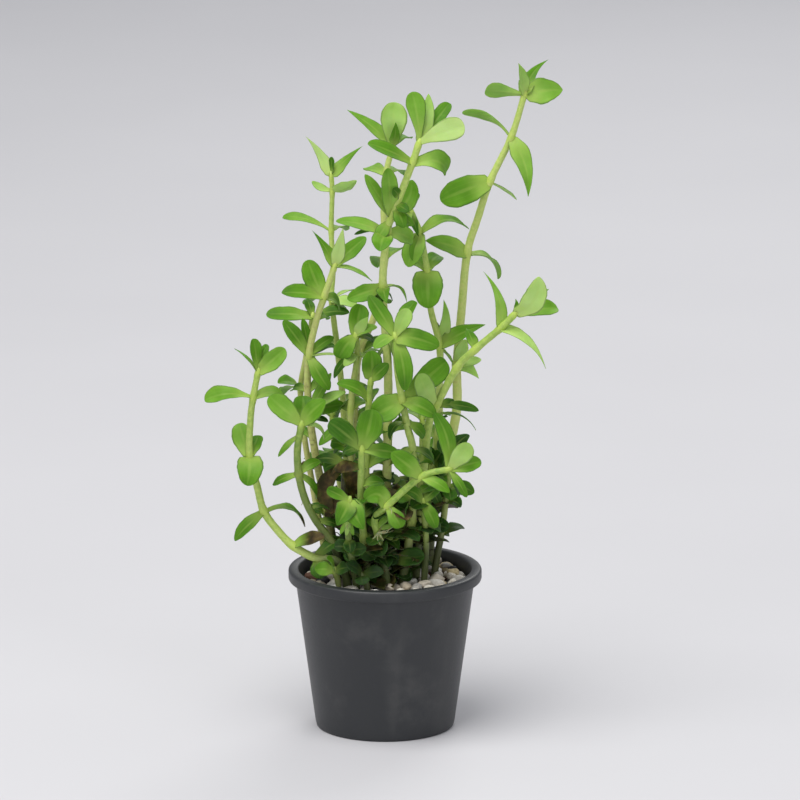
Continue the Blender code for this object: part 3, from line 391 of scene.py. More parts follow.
SHOOTS["shoot_foot_right"] = dict(
    foot=(11, -8), thick=(2, 1.6), age=(0.2, 0.3, 0.6), dark=0.7, pairs=1,
    path=[(11.5, 9, -9), (10.6, 20, -10)],
    leaves=[
        (1, 3.7, -7.1, -3, 3.9, 0.8, 1, MID), (1, -5, 3.8, -4, 4.5, 0.6, 0.8, DEEP),
        (1, 4.8, 4.6, 2, 4.2, 0.6, 0.5, DEEP),
    ],
    small=[(0.5, 4.4, -1.9, 2, 3.4, 0.5, 1, DARK)],
)
SHOOTS["shoot_foot_front"] = dict(
    foot=(-5, -16.8), thick=(1.9, 1.7), age=(0.3, 0.5, 0.7),
    path=[(-6.4, -0.4, -16.5)],
    leaves=[
        (0, 0.2, -2.5, -4, 4.2, 0.8, 0.6, DEEP, "blunt"), (0, 6, 1, -2, 4.4, 0.6, 0.6, DARK),
        (0, -4.2, 3.4, -3, 4.2, 0.6, 0.6, DARK),
    ],
)
SHOOTS["shoot_foot_left"] = dict(
    foot=(-13, -14.5), thick=(1.9, 1.7), age=(0.3, 0.5, 0.7),
    path=[(-14, 0.8, -15)],
    leaves=[
        (0, -5.6, 0.4, -1, 4.2, 0.7, 0.4, MID), (0, 4.4, 1.2, -3, 4, 0.6, 0.6, DARK),
        (0, -2.4, 3.6, -3, 3.6, 0.5, 0.4, MID),
    ],
)
SHOOTS["shoot_old_leaves"] = dict(
    foot=(-9.5, -2), thick=(2.3, 1.8), age=(0.95, 1, 1), withered=1.0,
    path=[(-10.5, 12, -2), (-11.4, 22, -3), (-11.2, 30.5, -3)],
    leaves=[
        (2, -3.4, -13.7, -5, 4.8, 0.7, 1, DARK, "oval", {"sway": -4}),
        (2, 3.4, -9.8, 1, 6.2, 0.8, 1.6, DARK, "broad"), (1, -5.4, -6.3, -3, 3.9, 0.6, 1.4, DARK),
        (2, -9.2, 0.9, 1, 3.9, 0.5, 2, DARK, "egg", {"withered": 0.2}),
    ],
    small=[(2, -4.2, -3.3, -4, 2.2, 0.5, 2, DARK, "lance"), (1, 2.2, -7.4, -4, 3.4, 0.6, 1.2, DARK)],
)
SHOOTS["stem_back_left"] = dict(
    foot=(-10, 15), thick=(2.2, 1.5), age=(0.2, 0.4, 0.6), pairs=3,
    path=[(-11, 15, 17), (-14, 32, 19), (-15, 44, 20)],
    leaves=[
        (2, -8, 2, 3, 5.2, 0, 1.2, MID), (2, 8, 2, 3, 5.2, 0, 1.2, MID), (2, 1, 7, 4, 4, 0, 0.5, FRESH),
        (1, -2, 2, 9, 5, 0, 1.4, MID), (1, -9, 0, 0, 5, 0.3, 1.2, MID),
    ],
)
SHOOTS["stem_back_right"] = dict(
    foot=(5, 13), thick=(2.2, 1.5), age=(0.2, 0.4, 0.6), pairs=4,
    path=[(7, 16, 16), (10, 30, 18), (10.5, 43, 19)],
    leaves=[
        (2, -8, 2, 3, 5.2, 0, 1.2, MID), (2, 8, 1, 3, 5.2, 0, 1.2, MID), (2, 0, 7, 4, 4, 0, 0.5, FRESH),
        (1, 8, 0, 0, 5, 0.3, 1.2, MID), (1, 1, 2, 9, 5, 0, 1.4, MID),
    ],
)

# Leaf mesh: its rings and points, thickness, fold, groove and ridge along the midrib, how far its
# base clasps the stem, and over which share of its length it opens there
LEAF_RINGS, LEAF_ACROSS = 20, 13
SMALL_LEAF_RINGS, SMALL_LEAF_ACROSS = 13, 9
LEAF_THICK = 0.46
LEAF_FOLD = 0.2
LEAF_GROOVE = 0.13
LEAF_RIDGE = 0.2
LEAF_CLASP = 0.7
LEAF_BASE = 0.09
# What differs from leaf to leaf: sway and curl are shares of its length, fold one of LEAF_FOLD
LEAF_CHANCES = {
    "twist": (-0.34, 0.34), "sway": (-0.05, 0.05), "curl": (-0.04, 0.1), "fold": (0.3, 1.9),
    "wave": (0.03, 0.1), "uneven": (-0.09, 0.09), "phase": (0, math.tau), "waves": (1.2, 2.4),
}

# Stem mesh, with a swelling at each node that reaches up and down from it
STEM_STEP = 1.1
STEM_SIDES = 16
NODE_SWELL = 0.2
NODE_REACH = 1.25

# Old leaves low on the stems: heights above the gravel, lengths, widths, and how many are brown
INNER_HEIGHTS = (4.0, 36.0)
INNER_LENGTHS = (5.0, 9.0)
INNER_WIDTHS = (3.6, 5.4)
INNER_BROWN = 0.12

# Gravel: sizes of its stones, the smallest that is kept, and each layer's height and spacing
STONE_SEED = 11
STONE_SIZES = (3.2, 6.6)
SMALLEST_STONE = 2.4
STONE_LAYERS = ((39.6, 4.2), (41.6, 3.9), (43.2, 3.7))
STONE_TRIES = 3000
STONE_CUTS = 9
BED_UNDER_TOP = 5.0

# Painted shade, with some grime, at the bunch's foot: its middle, the heights and distances over
# which it fades, and its share on young leaves
SHADE_AND_GRIME_MIDDLE = (2.0, -4.0)
SHADE_AND_GRIME_HEIGHTS = (7.0, 19.0)
SHADE_AND_GRIME_REACH = (14.0, 19.0)
YOUNG_SHADE_AND_GRIME = 0.25

# Roots, creeping stems and old leaves at the foot. A place of water roots has how many there are.
# The foot of the bunch widens between its two radii up to a height.
ROOT_SEED = 5
ROOT_SIDES = 6
ROOT_STEP = 0.5
WATER_ROOTS = [
    ((-2, 11.5, -15), 12), ((0.6, 19, -15), 3), ((-10.4, 15, -18), 8), ((-22.4, 21, -10), 4),
]
OLD_ROOTS = 70
FOOT_SEED = 23
FOOT_RADII = (8.0, 13.0)
FOOT_WIDENS = 12.0
FOOT_TOP = 25.0
CREEPERS = 16
OLD_LEAVES = 260
TWIG_RADIUS = 0.3

# Picture: lights are name, place, size, power and colour, in metres and watts
CAMERA_DISTANCE = 2400.0
FRAME_WIDTH = 224.0
SENSOR = 36.0
AIM_RIGHT = 4.2
AIM_UP = 48.6
FLOOR_RADIUS = 4.5
LIGHT_AIM = Vector((0, 0, 0.1))
LIGHTS = [
    ("key", (-0.25, -0.3, 1.15), 0.8, 11.5, (1, 0.99, 0.96)),
    ("fill", (0.9, -1.1, 0.5), 1.0, 3.2, (0.97, 0.98, 1)),
    ("front", (-0.6, -1.3, 0.4), 1.0, 3.6, (1, 1, 0.98)),
    ("back", (0.3, 0.9, 0.8), 0.7, 4, (1, 1, 0.97)),
]
SKY_COLOUR, SKY_STRENGTH = (0.93, 0.95, 1, 1), 0.42


def seen(right, up, back):
    """The vector of a step right, up the picture and back, as seen from VIEW_ANGLE above."""
    height = (up - back * math.sin(VIEW_ANGLE)) / math.cos(VIEW_ANGLE)
    return Vector((right, back, height)) * MM


# Materials

class Skin:
    """A material with one shader, whose plain values are set straight on its sockets.

    Each method from maths to attribute adds nodes and gives back their outputs.
    """

    def __init__(self, name, values=()):
        self.material = bpy.data.materials.new(name)
        self.material.use_nodes = True
        self.tree = self.material.node_tree
        self.shader = self.tree.nodes["Principled BSDF"]
        for socket, value in dict(values).items():
            self.shader.inputs[socket].default_value = value

    def add(self, kind, settings=(), **inputs):
        """One node: settings are its own properties, inputs are values or the sockets to join."""
        node = self.tree.nodes.new("ShaderNode" + kind)
        for key, value in dict(settings).items():
            setattr(node, key, value)
        for key, value in inputs.items():
            socket = node.inputs[int(key[1:]) if key[1:].isdigit() else key]
            if isinstance(value, bpy.types.NodeSocket):
                self.tree.links.new(value, socket)
            else:
                socket.default_value = value
        return node

    def maths(self, operation, first, second=0.0, third=0.0):
        node = self.add("Math", {"operation": operation}, i0=first, i1=second, i2=third)
        return node.outputs[0]

    def plus(self, first, second):
        return self.maths("ADD", first, second)

    def times(self, first, second):
        return self.maths("MULTIPLY", first, second)

    def line(self, value, slope, start):
        return self.maths("MULTIPLY_ADD", value, slope, start)

    def fade(self, value, low, high):
        """0 at low and 1 at high, smooth between them, also where low is above high."""
        node = self.add("MapRange", {"interpolation_type": "SMOOTHSTEP"}, i0=value, i1=low, i2=high)
        return node.outputs[0]

    def mix(self, share, first, second, blend="MIX"):
        settings = {"data_type": "RGBA", "blend_type": blend}
        return self.add("Mix", settings, i0=share, i6=first, i7=second).outputs[2]

    def ramp(self, value, stops, interpolation="LINEAR"):
        node = self.add("ValToRGB", i0=value)
        node.color_ramp.interpolation = interpolation
        points = node.color_ramp.elements
        while len(points) < len(stops):
            points.new(1.0)
        for point, (place, colour) in zip(points, stops):
            point.position = place
            point.color = (*colour, 1)
        return node.outputs[0]

    def shaded(self, colour, value, low, dark, high):
        """The colour, multiplied by dark where value is low or less."""
        return self.mix(1.0, colour, self.ramp(value, [(low, dark), (high, (1, 1, 1))]), "MULTIPLY")

    def noise(self, scale, detail=3.0, stretch=(1, 1, 1), where=None, roughness=0.5):
        if where is None:
            where = self.add("TexCoord").outputs["Object"]
        where = self.add("Mapping", Vector=where, Scale=stretch).outputs[0]
        node = self.add("TexNoise", Vector=where, Scale=scale, Detail=detail, Roughness=roughness)
        return node.outputs[0]

    def attribute(self, name):
        vector = self.add("Attribute", {"attribute_name": name}).outputs["Vector"]
        return self.add("SeparateXYZ", Vector=vector).outputs[:3]

    def finish(self, colour, roughness=None, height=None, strength=0.0, distance=0.0):
        """Joins what is given to the shader; a height of 1 bumps out by distance, in metres."""
        joined = {"Base Color": colour, "Roughness": roughness}
        if height is not None:
            bump = self.add("Bump", Height=height, Strength=strength, Distance=distance)
            joined["Normal"] = bump.outputs[0]
        for socket, value in joined.items():
            if value is not None:
                self.tree.links.new(value, self.shader.inputs[socket])
        return self.material


def leaf_material():
    """Leaf skin: pale midrib and base, fine side veins, a darker margin, a paler underside."""
    skin = Skin("leaf", {
        "Subsurface Weight": 0.22, "Subsurface Scale": 0.0012,
        "Subsurface Radius": (0.6, 1.0, 0.2), "Specular IOR Level": 0.15,
    })
    across, along, under = skin.attribute("place")
    tone, withered, shade_and_grime = skin.attribute("kind")
    tone = skin.plus(tone, skin.line(skin.noise(160), 0.34, -0.17))
    tone = skin.plus(tone, skin.line(along, -0.14, 0.06))
    colour = skin.ramp(tone, [
        (0.0, (0.014, 0.05, 0.003)), (0.24, (0.045, 0.14, 0.006)), (0.42, (0.1, 0.25, 0.012)),
        (0.58, (0.2, 0.38, 0.05)), (0.76, (0.37, 0.56, 0.15)), (1.0, (0.52, 0.7, 0.26)),
    ])
    side = skin.maths("ABSOLUTE", across)
    rib = skin.fade(side, skin.line(along, -0.22, 0.34), 0.0)
    rib = skin.times(rib, skin.line(along, -0.36, 0.4))
    base = skin.times(skin.fade(along, 0.55, 0.0), 0.5)
    colour = skin.mix(skin.maths("MAXIMUM", rib, base), colour, (0.45, 0.57, 0.13, 1))
    veins = skin.fade(skin.maths("SINE", skin.times(side, 19.0)), 0.75, 1.0)
    colour = skin.mix(skin.times(veins, 0.06), colour, (0.34, 0.5, 0.12, 1))
    margin = skin.times(skin.fade(side, 0.84, 0.96), 0.6)
    colour = skin.mix(margin, colour, (0.06, 0.12, 0.035, 1))
    colour = skin.mix(skin.times(under, 0.3), colour, (0.27, 0.42, 0.13, 1))
    brown = skin.ramp(skin.fade(skin.noise(420, 4), 0.35, 0.75), [
        (0.0, (0.03, 0.022, 0.008)), (0.6, (0.085, 0.055, 0.018)), (1.0, (0.14, 0.12, 0.03)),
    ])
    first_brown = skin.line(withered, -1.4, 1.0)
    all_brown = skin.line(withered, -0.8, 1.1)
    colour = skin.mix(skin.fade(along, first_brown, all_brown), colour, brown)
    # Painted shade, with some grime, at the foot of the bunch
    colour = skin.mix(skin.times(shade_and_grime, 0.8), colour, (0.012, 0.03, 0.008, 1))
    roughness = skin.line(skin.noise(900, 2), 0.22, 0.42)
    height = skin.plus(skin.noise(2600, 2), skin.times(veins, -0.5))
    return skin.finish(colour, roughness, height, 0.25, 0.00006)


def stem_material():
    """Stem skin: yellow-green with fine long streaks, limey at the nodes, brown when old."""
    skin = Skin("stem", {
        "Subsurface Weight": 0.18, "Subsurface Scale": 0.0012,
        "Subsurface Radius": (0.8, 1.0, 0.3), "Specular IOR Level": 0.4,
    })
    around, along, node = skin.attribute("place")
    age, withered, shade_and_grime = skin.attribute("kind")
    place = skin.add("CombineXYZ", X=around, Y=skin.times(along, 3.0), Z=age).outputs[0]
    streaks = skin.noise(3.2, 4, where=place)
    colour = skin.ramp(skin.plus(age, skin.line(streaks, 0.55, -0.275)), [
        (0.0, (0.2, 0.36, 0.05)), (0.25, (0.42, 0.56, 0.12)), (0.45, (0.57, 0.64, 0.2)),
        (0.62, (0.5, 0.5, 0.17)), (0.76, (0.17, 0.19, 0.04)), (0.9, (0.07, 0.075, 0.02)),
        (1.0, (0.045, 0.04, 0.015)),
    ])
    lime = skin.times(node, skin.line(withered, -0.75, 0.75))
    colour = skin.mix(lime, colour, (0.46, 0.6, 0.1, 1))
    # Painted shade, with some grime, at the foot of the bunch
    colour = skin.mix(skin.times(shade_and_grime, 0.88), colour, (0.014, 0.026, 0.008, 1))
    return skin.finish(colour, skin.line(streaks, 0.25, 0.33), streaks, 0.35, 0.00012)


def stone_material():
    """Rounded mixed gravel: each stone has its own colour, with fine grain and worn specks, and painted
    shade under the bunch.
    """
    skin = Skin("gravel_stones", {"Specular IOR Level": 0.35})
    pick, painted_shade, _ = skin.attribute("kind")
    colour = skin.ramp(pick, [
        (0.0, (0.74, 0.71, 0.64)), (0.3, (0.66, 0.6, 0.5)), (0.48, (0.8, 0.79, 0.75)),
        (0.66, (0.5, 0.48, 0.44)), (0.76, (0.4, 0.39, 0.37)), (0.83, (0.68, 0.58, 0.36)),
        (0.88, (0.62, 0.42, 0.2)), (0.91, (0.22, 0.11, 0.075)), (0.935, (0.045, 0.045, 0.055)),
        (0.97, (0.32, 0.3, 0.28)),
    ], "CONSTANT")
    grain = skin.noise(700, 5, roughness=0.65)
    colour = skin.shaded(colour, grain, 0.3, (0.72, 0.7, 0.68), 0.62)
    colour = skin.shaded(colour, skin.noise(180), 0.3, (0.84, 0.8, 0.72), 0.6)
    # Painted shade under the bunch
    colour = skin.mix(skin.times(painted_shade, 0.75), colour, (0.03, 0.035, 0.02, 1))
    return skin.finish(colour, skin.line(grain, 0.3, 0.45), grain, 0.5, 0.0002)


def pot_material():
    """Dark moulded plastic, finely grained, with a little pale dust and streaks."""
    skin = Skin("pot_plastic", {"Specular IOR Level": 0.45})
    grain = skin.noise(1500)
    dust = skin.fade(skin.noise(60, 5, roughness=0.6), 0.5, 0.78)
    streaks = skin.fade(skin.noise(90, stretch=(1, 1, 0.12)), 0.5, 0.8)
    marks = skin.plus(skin.times(dust, 0.09), skin.times(streaks, 0.07))
    colour = skin.mix(marks, (0.024, 0.026, 0.029, 1), (0.32, 0.31, 0.29, 1))
    roughness = skin.plus(skin.line(grain, 0.14, 0.36), skin.times(marks, 1.2))
    return skin.finish(colour, roughness, grain, 0.3, 0.00008)


def root_material():
    """Thin water roots: whitish and a little see-through when young, brown when old."""
    skin = Skin("roots", {"Subsurface Weight": 0.3, "Subsurface Scale": 0.0006})
    age, _, shade_and_grime = skin.attribute("kind")
    colour = skin.ramp(age, [
        (0.0, (0.5, 0.56, 0.3)), (0.5, (0.32, 0.3, 0.13)), (1.0, (0.06, 0.05, 0.025)),
    ])
    # Painted shade, with some grime, at the foot of the bunch
    colour = skin.mix(skin.times(shade_and_grime, 0.8), colour, (0.014, 0.02, 0.008, 1))
    colour = skin.shaded(colour, skin.noise(800, 2), 0.3, (0.7, 0.7, 0.7), 0.7)
    return skin.finish(colour, skin.line(skin.noise(500, 2), 0.2, 0.4))


# Meshes

def new_object(name, data):
    obj = bpy.data.objects.new(name, data)
    bpy.context.scene.collection.objects.link(obj)
    return obj


def new_mesh(name, bm):
    """A mesh of what is in bm, which isn't used after it."""
    mesh = bpy.data.meshes.new(name)
    bm.to_mesh(mesh)
    bm.free()
    return mesh


def points_and_faces(bm):
    """The points of bm as an array, and its faces as numbers of them. It isn't used after it."""
    points = np.array([tuple(vert.co) for vert in bm.verts])
    faces = [[vert.index for vert in face.verts] for face in bm.faces]
    bm.free()
    return points, faces


class Builder:
    """Gathers the points and faces of many small forms into one piece.

    The materials read two vectors of each point. Its place is across, along and under for a leaf,
    and around, along and near a node for a stem. Its kind is tone or age, withered, and the painted
    shade with some grime of the bunch's foot, and for a stone its pick of colour and its painted shade.
    """

    def __init__(self):
        self.points, self.faces, self.slots, self.places, self.kinds = [], [], [], [], []
        self.count = 0

    def add(self, points, faces, places, kinds, slot=0):
        self.points.append(points)
        self.faces.extend([[corner + self.count for corner in face] for face in faces])
        self.slots.extend([slot] * len(faces))
        self.places.append(places)
        self.kinds.append(kinds)
        self.count += len(points)

    def piece(self, name, materials, replaced=()):
        mesh = bpy.data.meshes.new(name)
        mesh.from_pydata(np.vstack(self.points).tolist(), [], self.faces)
        mesh.polygons.foreach_set("material_index", self.slots)
        for label, values in (("place", self.places), ("kind", self.kinds)):
            layer = mesh.attributes.new(label, "FLOAT_VECTOR", "POINT")
            layer.data.foreach_set("vector", np.vstack(values).astype(np.float32).ravel())
        for material in materials:
            mesh.materials.append(material)
        mesh.shade_smooth()
        mesh.update()
        obj = new_object(name, mesh)
        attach(obj, "root")
        for node in replaced:
            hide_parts(node)
        return obj


def ring_faces(rings, sides):
    """Faces of a tube of rings, whose ends close on two more points."""
    faces = []
    first, last = rings * sides, rings * sides + 1
    end = (rings - 1) * sides
    for ring in range(rings - 1):
        here = ring * sides
        for corner in range(sides):
            after = (corner + 1) % sides
            faces.append([here + corner, here + after, here + sides + after, here + sides + corner])
    for corner in range(sides):
        after = (corner + 1) % sides
        faces += [[first, after, corner], [last, end + corner, end + after]]
    return faces


def unit_rows(rows):
    return rows / np.linalg.norm(rows, axis=1)[:, None]


def smoothstep(value, low, high):
    share = np.clip((value - low) / (high - low), 0, 1)
    return share * share * (3 - 2 * share)


def shade_and_grime_at(points):
    """How much painted shade, with some grime, darkens the foot of the bunch at points in metres: only low
    down and near its middle.
    """
    across, back, height = np.moveaxis(np.array(points) / MM, -1, 0)
    outward = np.hypot(0.75 * (across - SHADE_AND_GRIME_MIDDLE[0]), back - SHADE_AND_GRIME_MIDDLE[1])
    high = smoothstep(height - GRAVEL_TOP, *SHADE_AND_GRIME_HEIGHTS)
    return (1 - high) * (1 - smoothstep(outward, *SHADE_AND_GRIME_REACH))


def face_direction(way, stem_way, turn):
    """The direction that the leaf's upper face looks, square to its length."""
    grown = (stem_way - stem_way.project(way)).normalized()
    viewer = Vector((0, -math.cos(VIEW_ANGLE), math.sin(VIEW_ANGLE)))
    if turn < 0:
        viewer.negate()
    front = (viewer - viewer.project(way)).normalized()
    return grown.lerp(front, abs(turn)).normalized()


def leaf_outline(along, base, widest, fullness, point):
    """Half the leaf's width along it, as a share of half its greatest width."""
    rise = base + (1 - base) * smoothstep(along, 0, widest)
    fall = np.clip((along - widest) / (1 - widest), 0, 1)
    return rise * (1 - fall ** fullness) ** point


def leaf_rings(count):
    """Where along a leaf its rings are, closer together towards its tip."""
    spread = np.linspace(0, 1, count)
    along = spread - 0.24 * np.sin(math.tau * spread) / math.tau
    along = 1 - (1 - along) ** 1.35
    along[-1] = 0.999
    return along


def own_values(leaf):
    """What the leaf's row says of it by name, after its form."""
    return leaf[9] if len(leaf) > 9 else {}


def add_leaf(builder, node, girth, stem_way, leaf, chance, withered=0.0, shade_and_grime=0.0, small=False):
    """One leaf as a closed skin: a grooved upper face, a ridged lower one and a thin margin."""
    rings, columns = (SMALL_LEAF_RINGS, SMALL_LEAF_ACROSS) if small else (LEAF_RINGS, LEAF_ACROSS)
    _, right, up, back, width, turn, arch, tone = leaf[:8]
    form = leaf[8] if len(leaf) > 8 else "oval"
    step = seen(right, up, back)
    way = step.normalized()
    root = node + way * girth * ROOT_IN_STEM
    reach = node + step - root
    face = face_direction(way, stem_way, turn)
    length = reach.length / MM
    manner = {key: chance.uniform(*span) for key, span in LEAF_CHANCES.items()}
    manner["sway"] *= length
    manner["curl"] *= length
    manner.update(own_values(leaf))
    wave, phase = manner["wave"], manner["phase"]

    along = leaf_rings(rings)
    opened = 1 - (1 - np.clip(along / LEAF_BASE, 0, 1)) ** 2
    start = min(1.0, max(0.3, 1.2 * girth / MM / (width / 2)))
    half = width / 2 * leaf_outline(along, *FORMS[form]) * (start + (1 - start) * np.sqrt(opened))
    turns = math.tau * along
    half *= 1 + 0.02 * np.sin(2.3 * turns + phase) + 0.015 * np.sin(5.1 * turns - phase)
    steps = np.linspace(-1, 1, columns)
    across = np.sign(steps) * np.abs(steps) ** 0.9
    cross = np.concatenate([across, across[::-1]])
    upper = np.concatenate([np.ones(columns), np.zeros(columns)])

    bow = 4 * along * (1 - along)
    centre = np.array(root) / MM + np.outer(along, np.array(reach) / MM)
    centre += np.outer(arch * bow - manner["curl"] * along ** 3, face)
    centre += np.outer(manner["sway"] * bow, face.cross(way))
    tangent = unit_rows(np.gradient(centre, along, axis=0))
    side = unit_rows(np.cross(face, tangent))
    above = np.cross(tangent, side)
    angle = (manner["twist"] * along)[:, None]
    side, above = (
        side * np.cos(angle) + above * np.sin(angle), above * np.cos(angle) - side * np.sin(angle)
    )

    share = cross[None, :]
    edge = np.abs(share)
    t = along[:, None]
    broad = half[:, None]
    lift = LEAF_FOLD * manner["fold"] * broad * edge ** 1.4
    ripple = np.sin(manner["waves"] * math.tau * t + phase + 1.3 * np.sign(share))
    lift += wave * broad * edge ** 2 * ripple
    lift += 0.5 * wave * broad * np.sin(1.6 * math.tau * t - phase) * (1 - edge)
    lift -= LEAF_GROOVE * np.exp(-((share / 0.11) ** 2)) * (1 - 0.75 * t) * (broad > 0.4)
    thick = LEAF_THICK * (1 - 0.6 * t) * (1 - 0.72 * edge ** 2)
    thick = thick + LEAF_RIDGE * np.exp(-((share / 0.14) ** 2)) * (1 - t) ** 1.2
    lift = lift - thick * (1 - upper[None, :]) + 0.5 * thick
    outward = share * (1 + manner["uneven"] * share) * broad
    clasp = girth / MM * LEAF_CLASP * edge ** 2 * (1 - t) ** 6
    points = centre[:, None] + side[:, None] * outward[..., None]
    points = points + above[:, None] * lift[..., None] - tangent[:, None] * clasp[..., None]
    ends = np.array([centre[0], centre[-1] + 0.03 * tangent[-1]])
    points = np.vstack([points.reshape(-1, 3), ends]) * MM

    places = np.zeros((len(points), 3))
    places[:-2, 0] = np.tile(cross, rings)
    places[:-2, 1] = np.repeat(along, 2 * columns)
    places[:-2, 2] = np.tile(1 - upper, rings)
    places[-1, 1] = 1
    kinds = np.tile([tone + chance.uniform(-0.05, 0.05), withered, shade_and_grime], (len(points), 1))
    builder.add(points, ring_faces(rings, 2 * columns), places, kinds, 1)


def stem_points(shoot):
    """The stem's own points, from its buried end up to its tip."""
    buried, ground = (
        Vector((*shoot["foot"], height)) * MM for height in (GRAVEL_TOP - ROOT_DEPTH, GRAVEL_TOP)
    )
    start = Vector((0, 0, GRAVEL_TOP)) * MM
    return [buried, ground] + [start + seen(*point) for point in shoot["path"]]


def smooth_route(points):
    """Close points along the curve through the given ones, and the place in it of each given one."""
    ends = [2 * points[0] - points[1]] + points + [2 * points[-1] - points[-2]]
    route = []
    places = []
    for before, here, there, after in zip(ends, ends[1:], ends[2:], ends[3:]):
        places.append(len(route))
        steps = max(2, round((there - here).length / MM / STEM_STEP))
        for step in range(steps):
            t = step / steps
            route.append(0.5 * (
                2 * here + (there - before) * t
                + (2 * before - 5 * here + 4 * there - after) * t * t
                + (3 * here - before - 3 * there + after) * t * t * t
            ))
    places.append(len(route))
    route.append(points[-1])
    route.append(points[-1] + (points[-1] - points[-2]).normalized() * BUD_LENGTH * MM)
    return route, places


def way_at(route, here):
    """The direction of a route at its point of that number."""
    return (route[min(here + 2, len(route) - 1)] - route[here - 2]).normalized()


def add_tube(builder, centre, radii, places, kinds, sides):
    """A closed round tube; centre in metres, radii in metres."""
    tangent = unit_rows(np.gradient(centre, axis=0))
    side = unit_rows(np.cross([0.0, 1.0, 0.0], tangent))
    front = np.cross(tangent, side)
    angle = np.linspace(0, math.tau, sides, endpoint=False)
    ring = side[:, None] * np.cos(angle)[None, :, None] + front[:, None] * np.sin(angle)[None, :, None]
    points = (centre[:, None] + ring * radii[:, None, None]).reshape(-1, 3)
    points = np.vstack([points, centre[0], centre[-1]])
    full_places = np.vstack([np.repeat(places, sides, axis=0), places[[0, -1]]])
    full_places[:-2, 0] = np.tile(np.sin(angle) + np.cos(angle) * 0.5, len(centre))
    full_kinds = np.vstack([np.repeat(kinds, sides, axis=0), kinds[[0, -1]]])
    builder.add(points, ring_faces(len(centre), sides), full_places, full_kinds)


def add_stem(builder, shoot, route, places, chance):
    """The stem: round, a little uneven, swollen in a ring at each pair of leaves."""
    centre = np.array([tuple(point) for point in route])
    strides = np.linalg.norm(np.diff(centre, axis=0), axis=1)
    distance = np.concatenate([[0], np.cumsum(strides)]) / MM
    foot, tip = shoot["thick"]
    share = distance / distance[-1]
    radii = (foot + (tip - foot) * share) / 2
    node = np.zeros(len(route))
    for number in {places[leaf[0] + BURIED_POINTS] for leaf in shoot["leaves"]}:
        node = np.maximum(node, np.exp(-(((distance - distance[number]) / NODE_REACH) ** 2)))
    radii = radii * (1 + NODE_SWELL * node) * (1 + 0.02 * np.sin(distance * 1.7 + chance.uniform(0, 6)))
    radii[-1] *= 0.45
    radii[-2] *= 0.85
    tip_age, mid_age, foot_age = shoot["age"]
    age = np.interp(share, [0, 0.5, 1], [foot_age, mid_age, tip_age])
    # Painted shade, with some grime: the foot's, or the shoot's own towards its foot where that is darker
    dark = np.maximum(shade_and_grime_at(centre), shoot.get("dark", 0) * np.sqrt(1 - share))
    kinds = np.column_stack([age, np.full(len(age), shoot.get("withered", 0.0)), dark])
    tube_places = np.column_stack([np.zeros(len(age)), distance / 10, node])
    add_tube(builder, centre, radii * MM, tube_places, kinds, STEM_SIDES)


def level(angle, length, rise):
    """A step of a length in the compass direction of angle, rising by rise, as seen."""
    back = length * math.sin(angle)
    up = rise * math.cos(VIEW_ANGLE) + back * math.sin(VIEW_ANGLE)
    return length * math.cos(angle), up, back


def add_inner_pairs(builder, shoot, route, chance):
    """Small old leaves low on a stem, each pair square to the one below it."""
    count = shoot.get("pairs", 0)
    girth = shoot["thick"][0] / 2 * MM
    first_angle = chance.uniform(0, math.tau)
    low, high = INNER_HEIGHTS
    for pair in range(count):
        height = low + (high - low) * (pair + chance.uniform(0.15, 0.85)) / count
        here = next((i for i, point in enumerate(route) if point.z / MM > GRAVEL_TOP + height), None)
        if here is None or here > len(route) - 6:
            break
        for half in (0, math.pi):
            angle = first_angle + pair * math.pi / 2 + half + chance.uniform(-0.3, 0.3)
            step = level(angle, chance.uniform(*INNER_LENGTHS), chance.uniform(-2.5, 3.5))
            # Dark old leaves, lighter higher up: partly their age, partly painted shade low in the bunch
            tone = DARK + chance.uniform(0, 1) * (DEEP - DARK) + 0.004 * height
            form = chance.choice(("oval", "broad", "egg", "blunt"))
            width, turn, arch = (chance.uniform(*span) for span in (INNER_WIDTHS, (0, 0.6), (0.4, 1.6)))
            leaf = (0, *step, width, turn, arch, tone, form)
            # Painted shade and grime of the foot where the leaf sits
            shade_and_grime = float(shade_and_grime_at(route[here]))
            withered = 0.8 if chance.random() < INNER_BROWN else 0.0
            add_leaf(
                builder, route[here], girth, way_at(route, here), leaf, chance, withered, shade_and_grime, True
            )


def make_shoot(name, shoot, materials):
    """A whole shoot: its stem, its leaves, the small ones after them, and old leaves low down."""
    chance = random.Random(name)
    builder = Builder()
    route, places = smooth_route(stem_points(shoot))
    add_stem(builder, shoot, route, places, chance)
    foot, tip = shoot["thick"]
    for number, leaf in enumerate(shoot["leaves"] + shoot.get("small", [])):
        share, point = math.modf(leaf[0])
        first = int(point) + BURIED_POINTS
        low, high = places[first], places[min(first + 1, len(places) - 1)]
        here = round(low + share * (high - low))
        node, way = route[here], way_at(route, here)
        girth = (foot + (tip - foot) * here / len(route)) / 2 * MM
        withered = own_values(leaf).get("withered", shoot.get("withered", 0.0))
        # Painted shade and grime of the foot, less on the lighter leaves
        shade_and_grime = float(shade_and_grime_at(node)) * (1.0 if leaf[7] < MID else YOUNG_SHADE_AND_GRIME)
        small = number >= len(shoot["leaves"])
        add_leaf(builder, node, girth, way, leaf, chance, withered, shade_and_grime, small)
    add_inner_pairs(builder, shoot, route, chance)
    return builder.piece(name + "_leafy", materials, [name])

# Gravel and pot

def pot_inner_radius(height):
    """How wide the pot is inside at a height above its underside."""
    share = height / POT_HEIGHT
    return POT_FOOT_RADIUS + (POT_TOP_RADIUS - POT_FOOT_RADIUS) * share - POT_WALL


def stone_form(subdivisions):
    """Points and triangles of a round ball, to be shaped into a stone."""
    bm = bmesh.new()
    bmesh.ops.create_icosphere(bm, subdivisions=subdivisions, radius=1)
    return points_and_faces(bm)


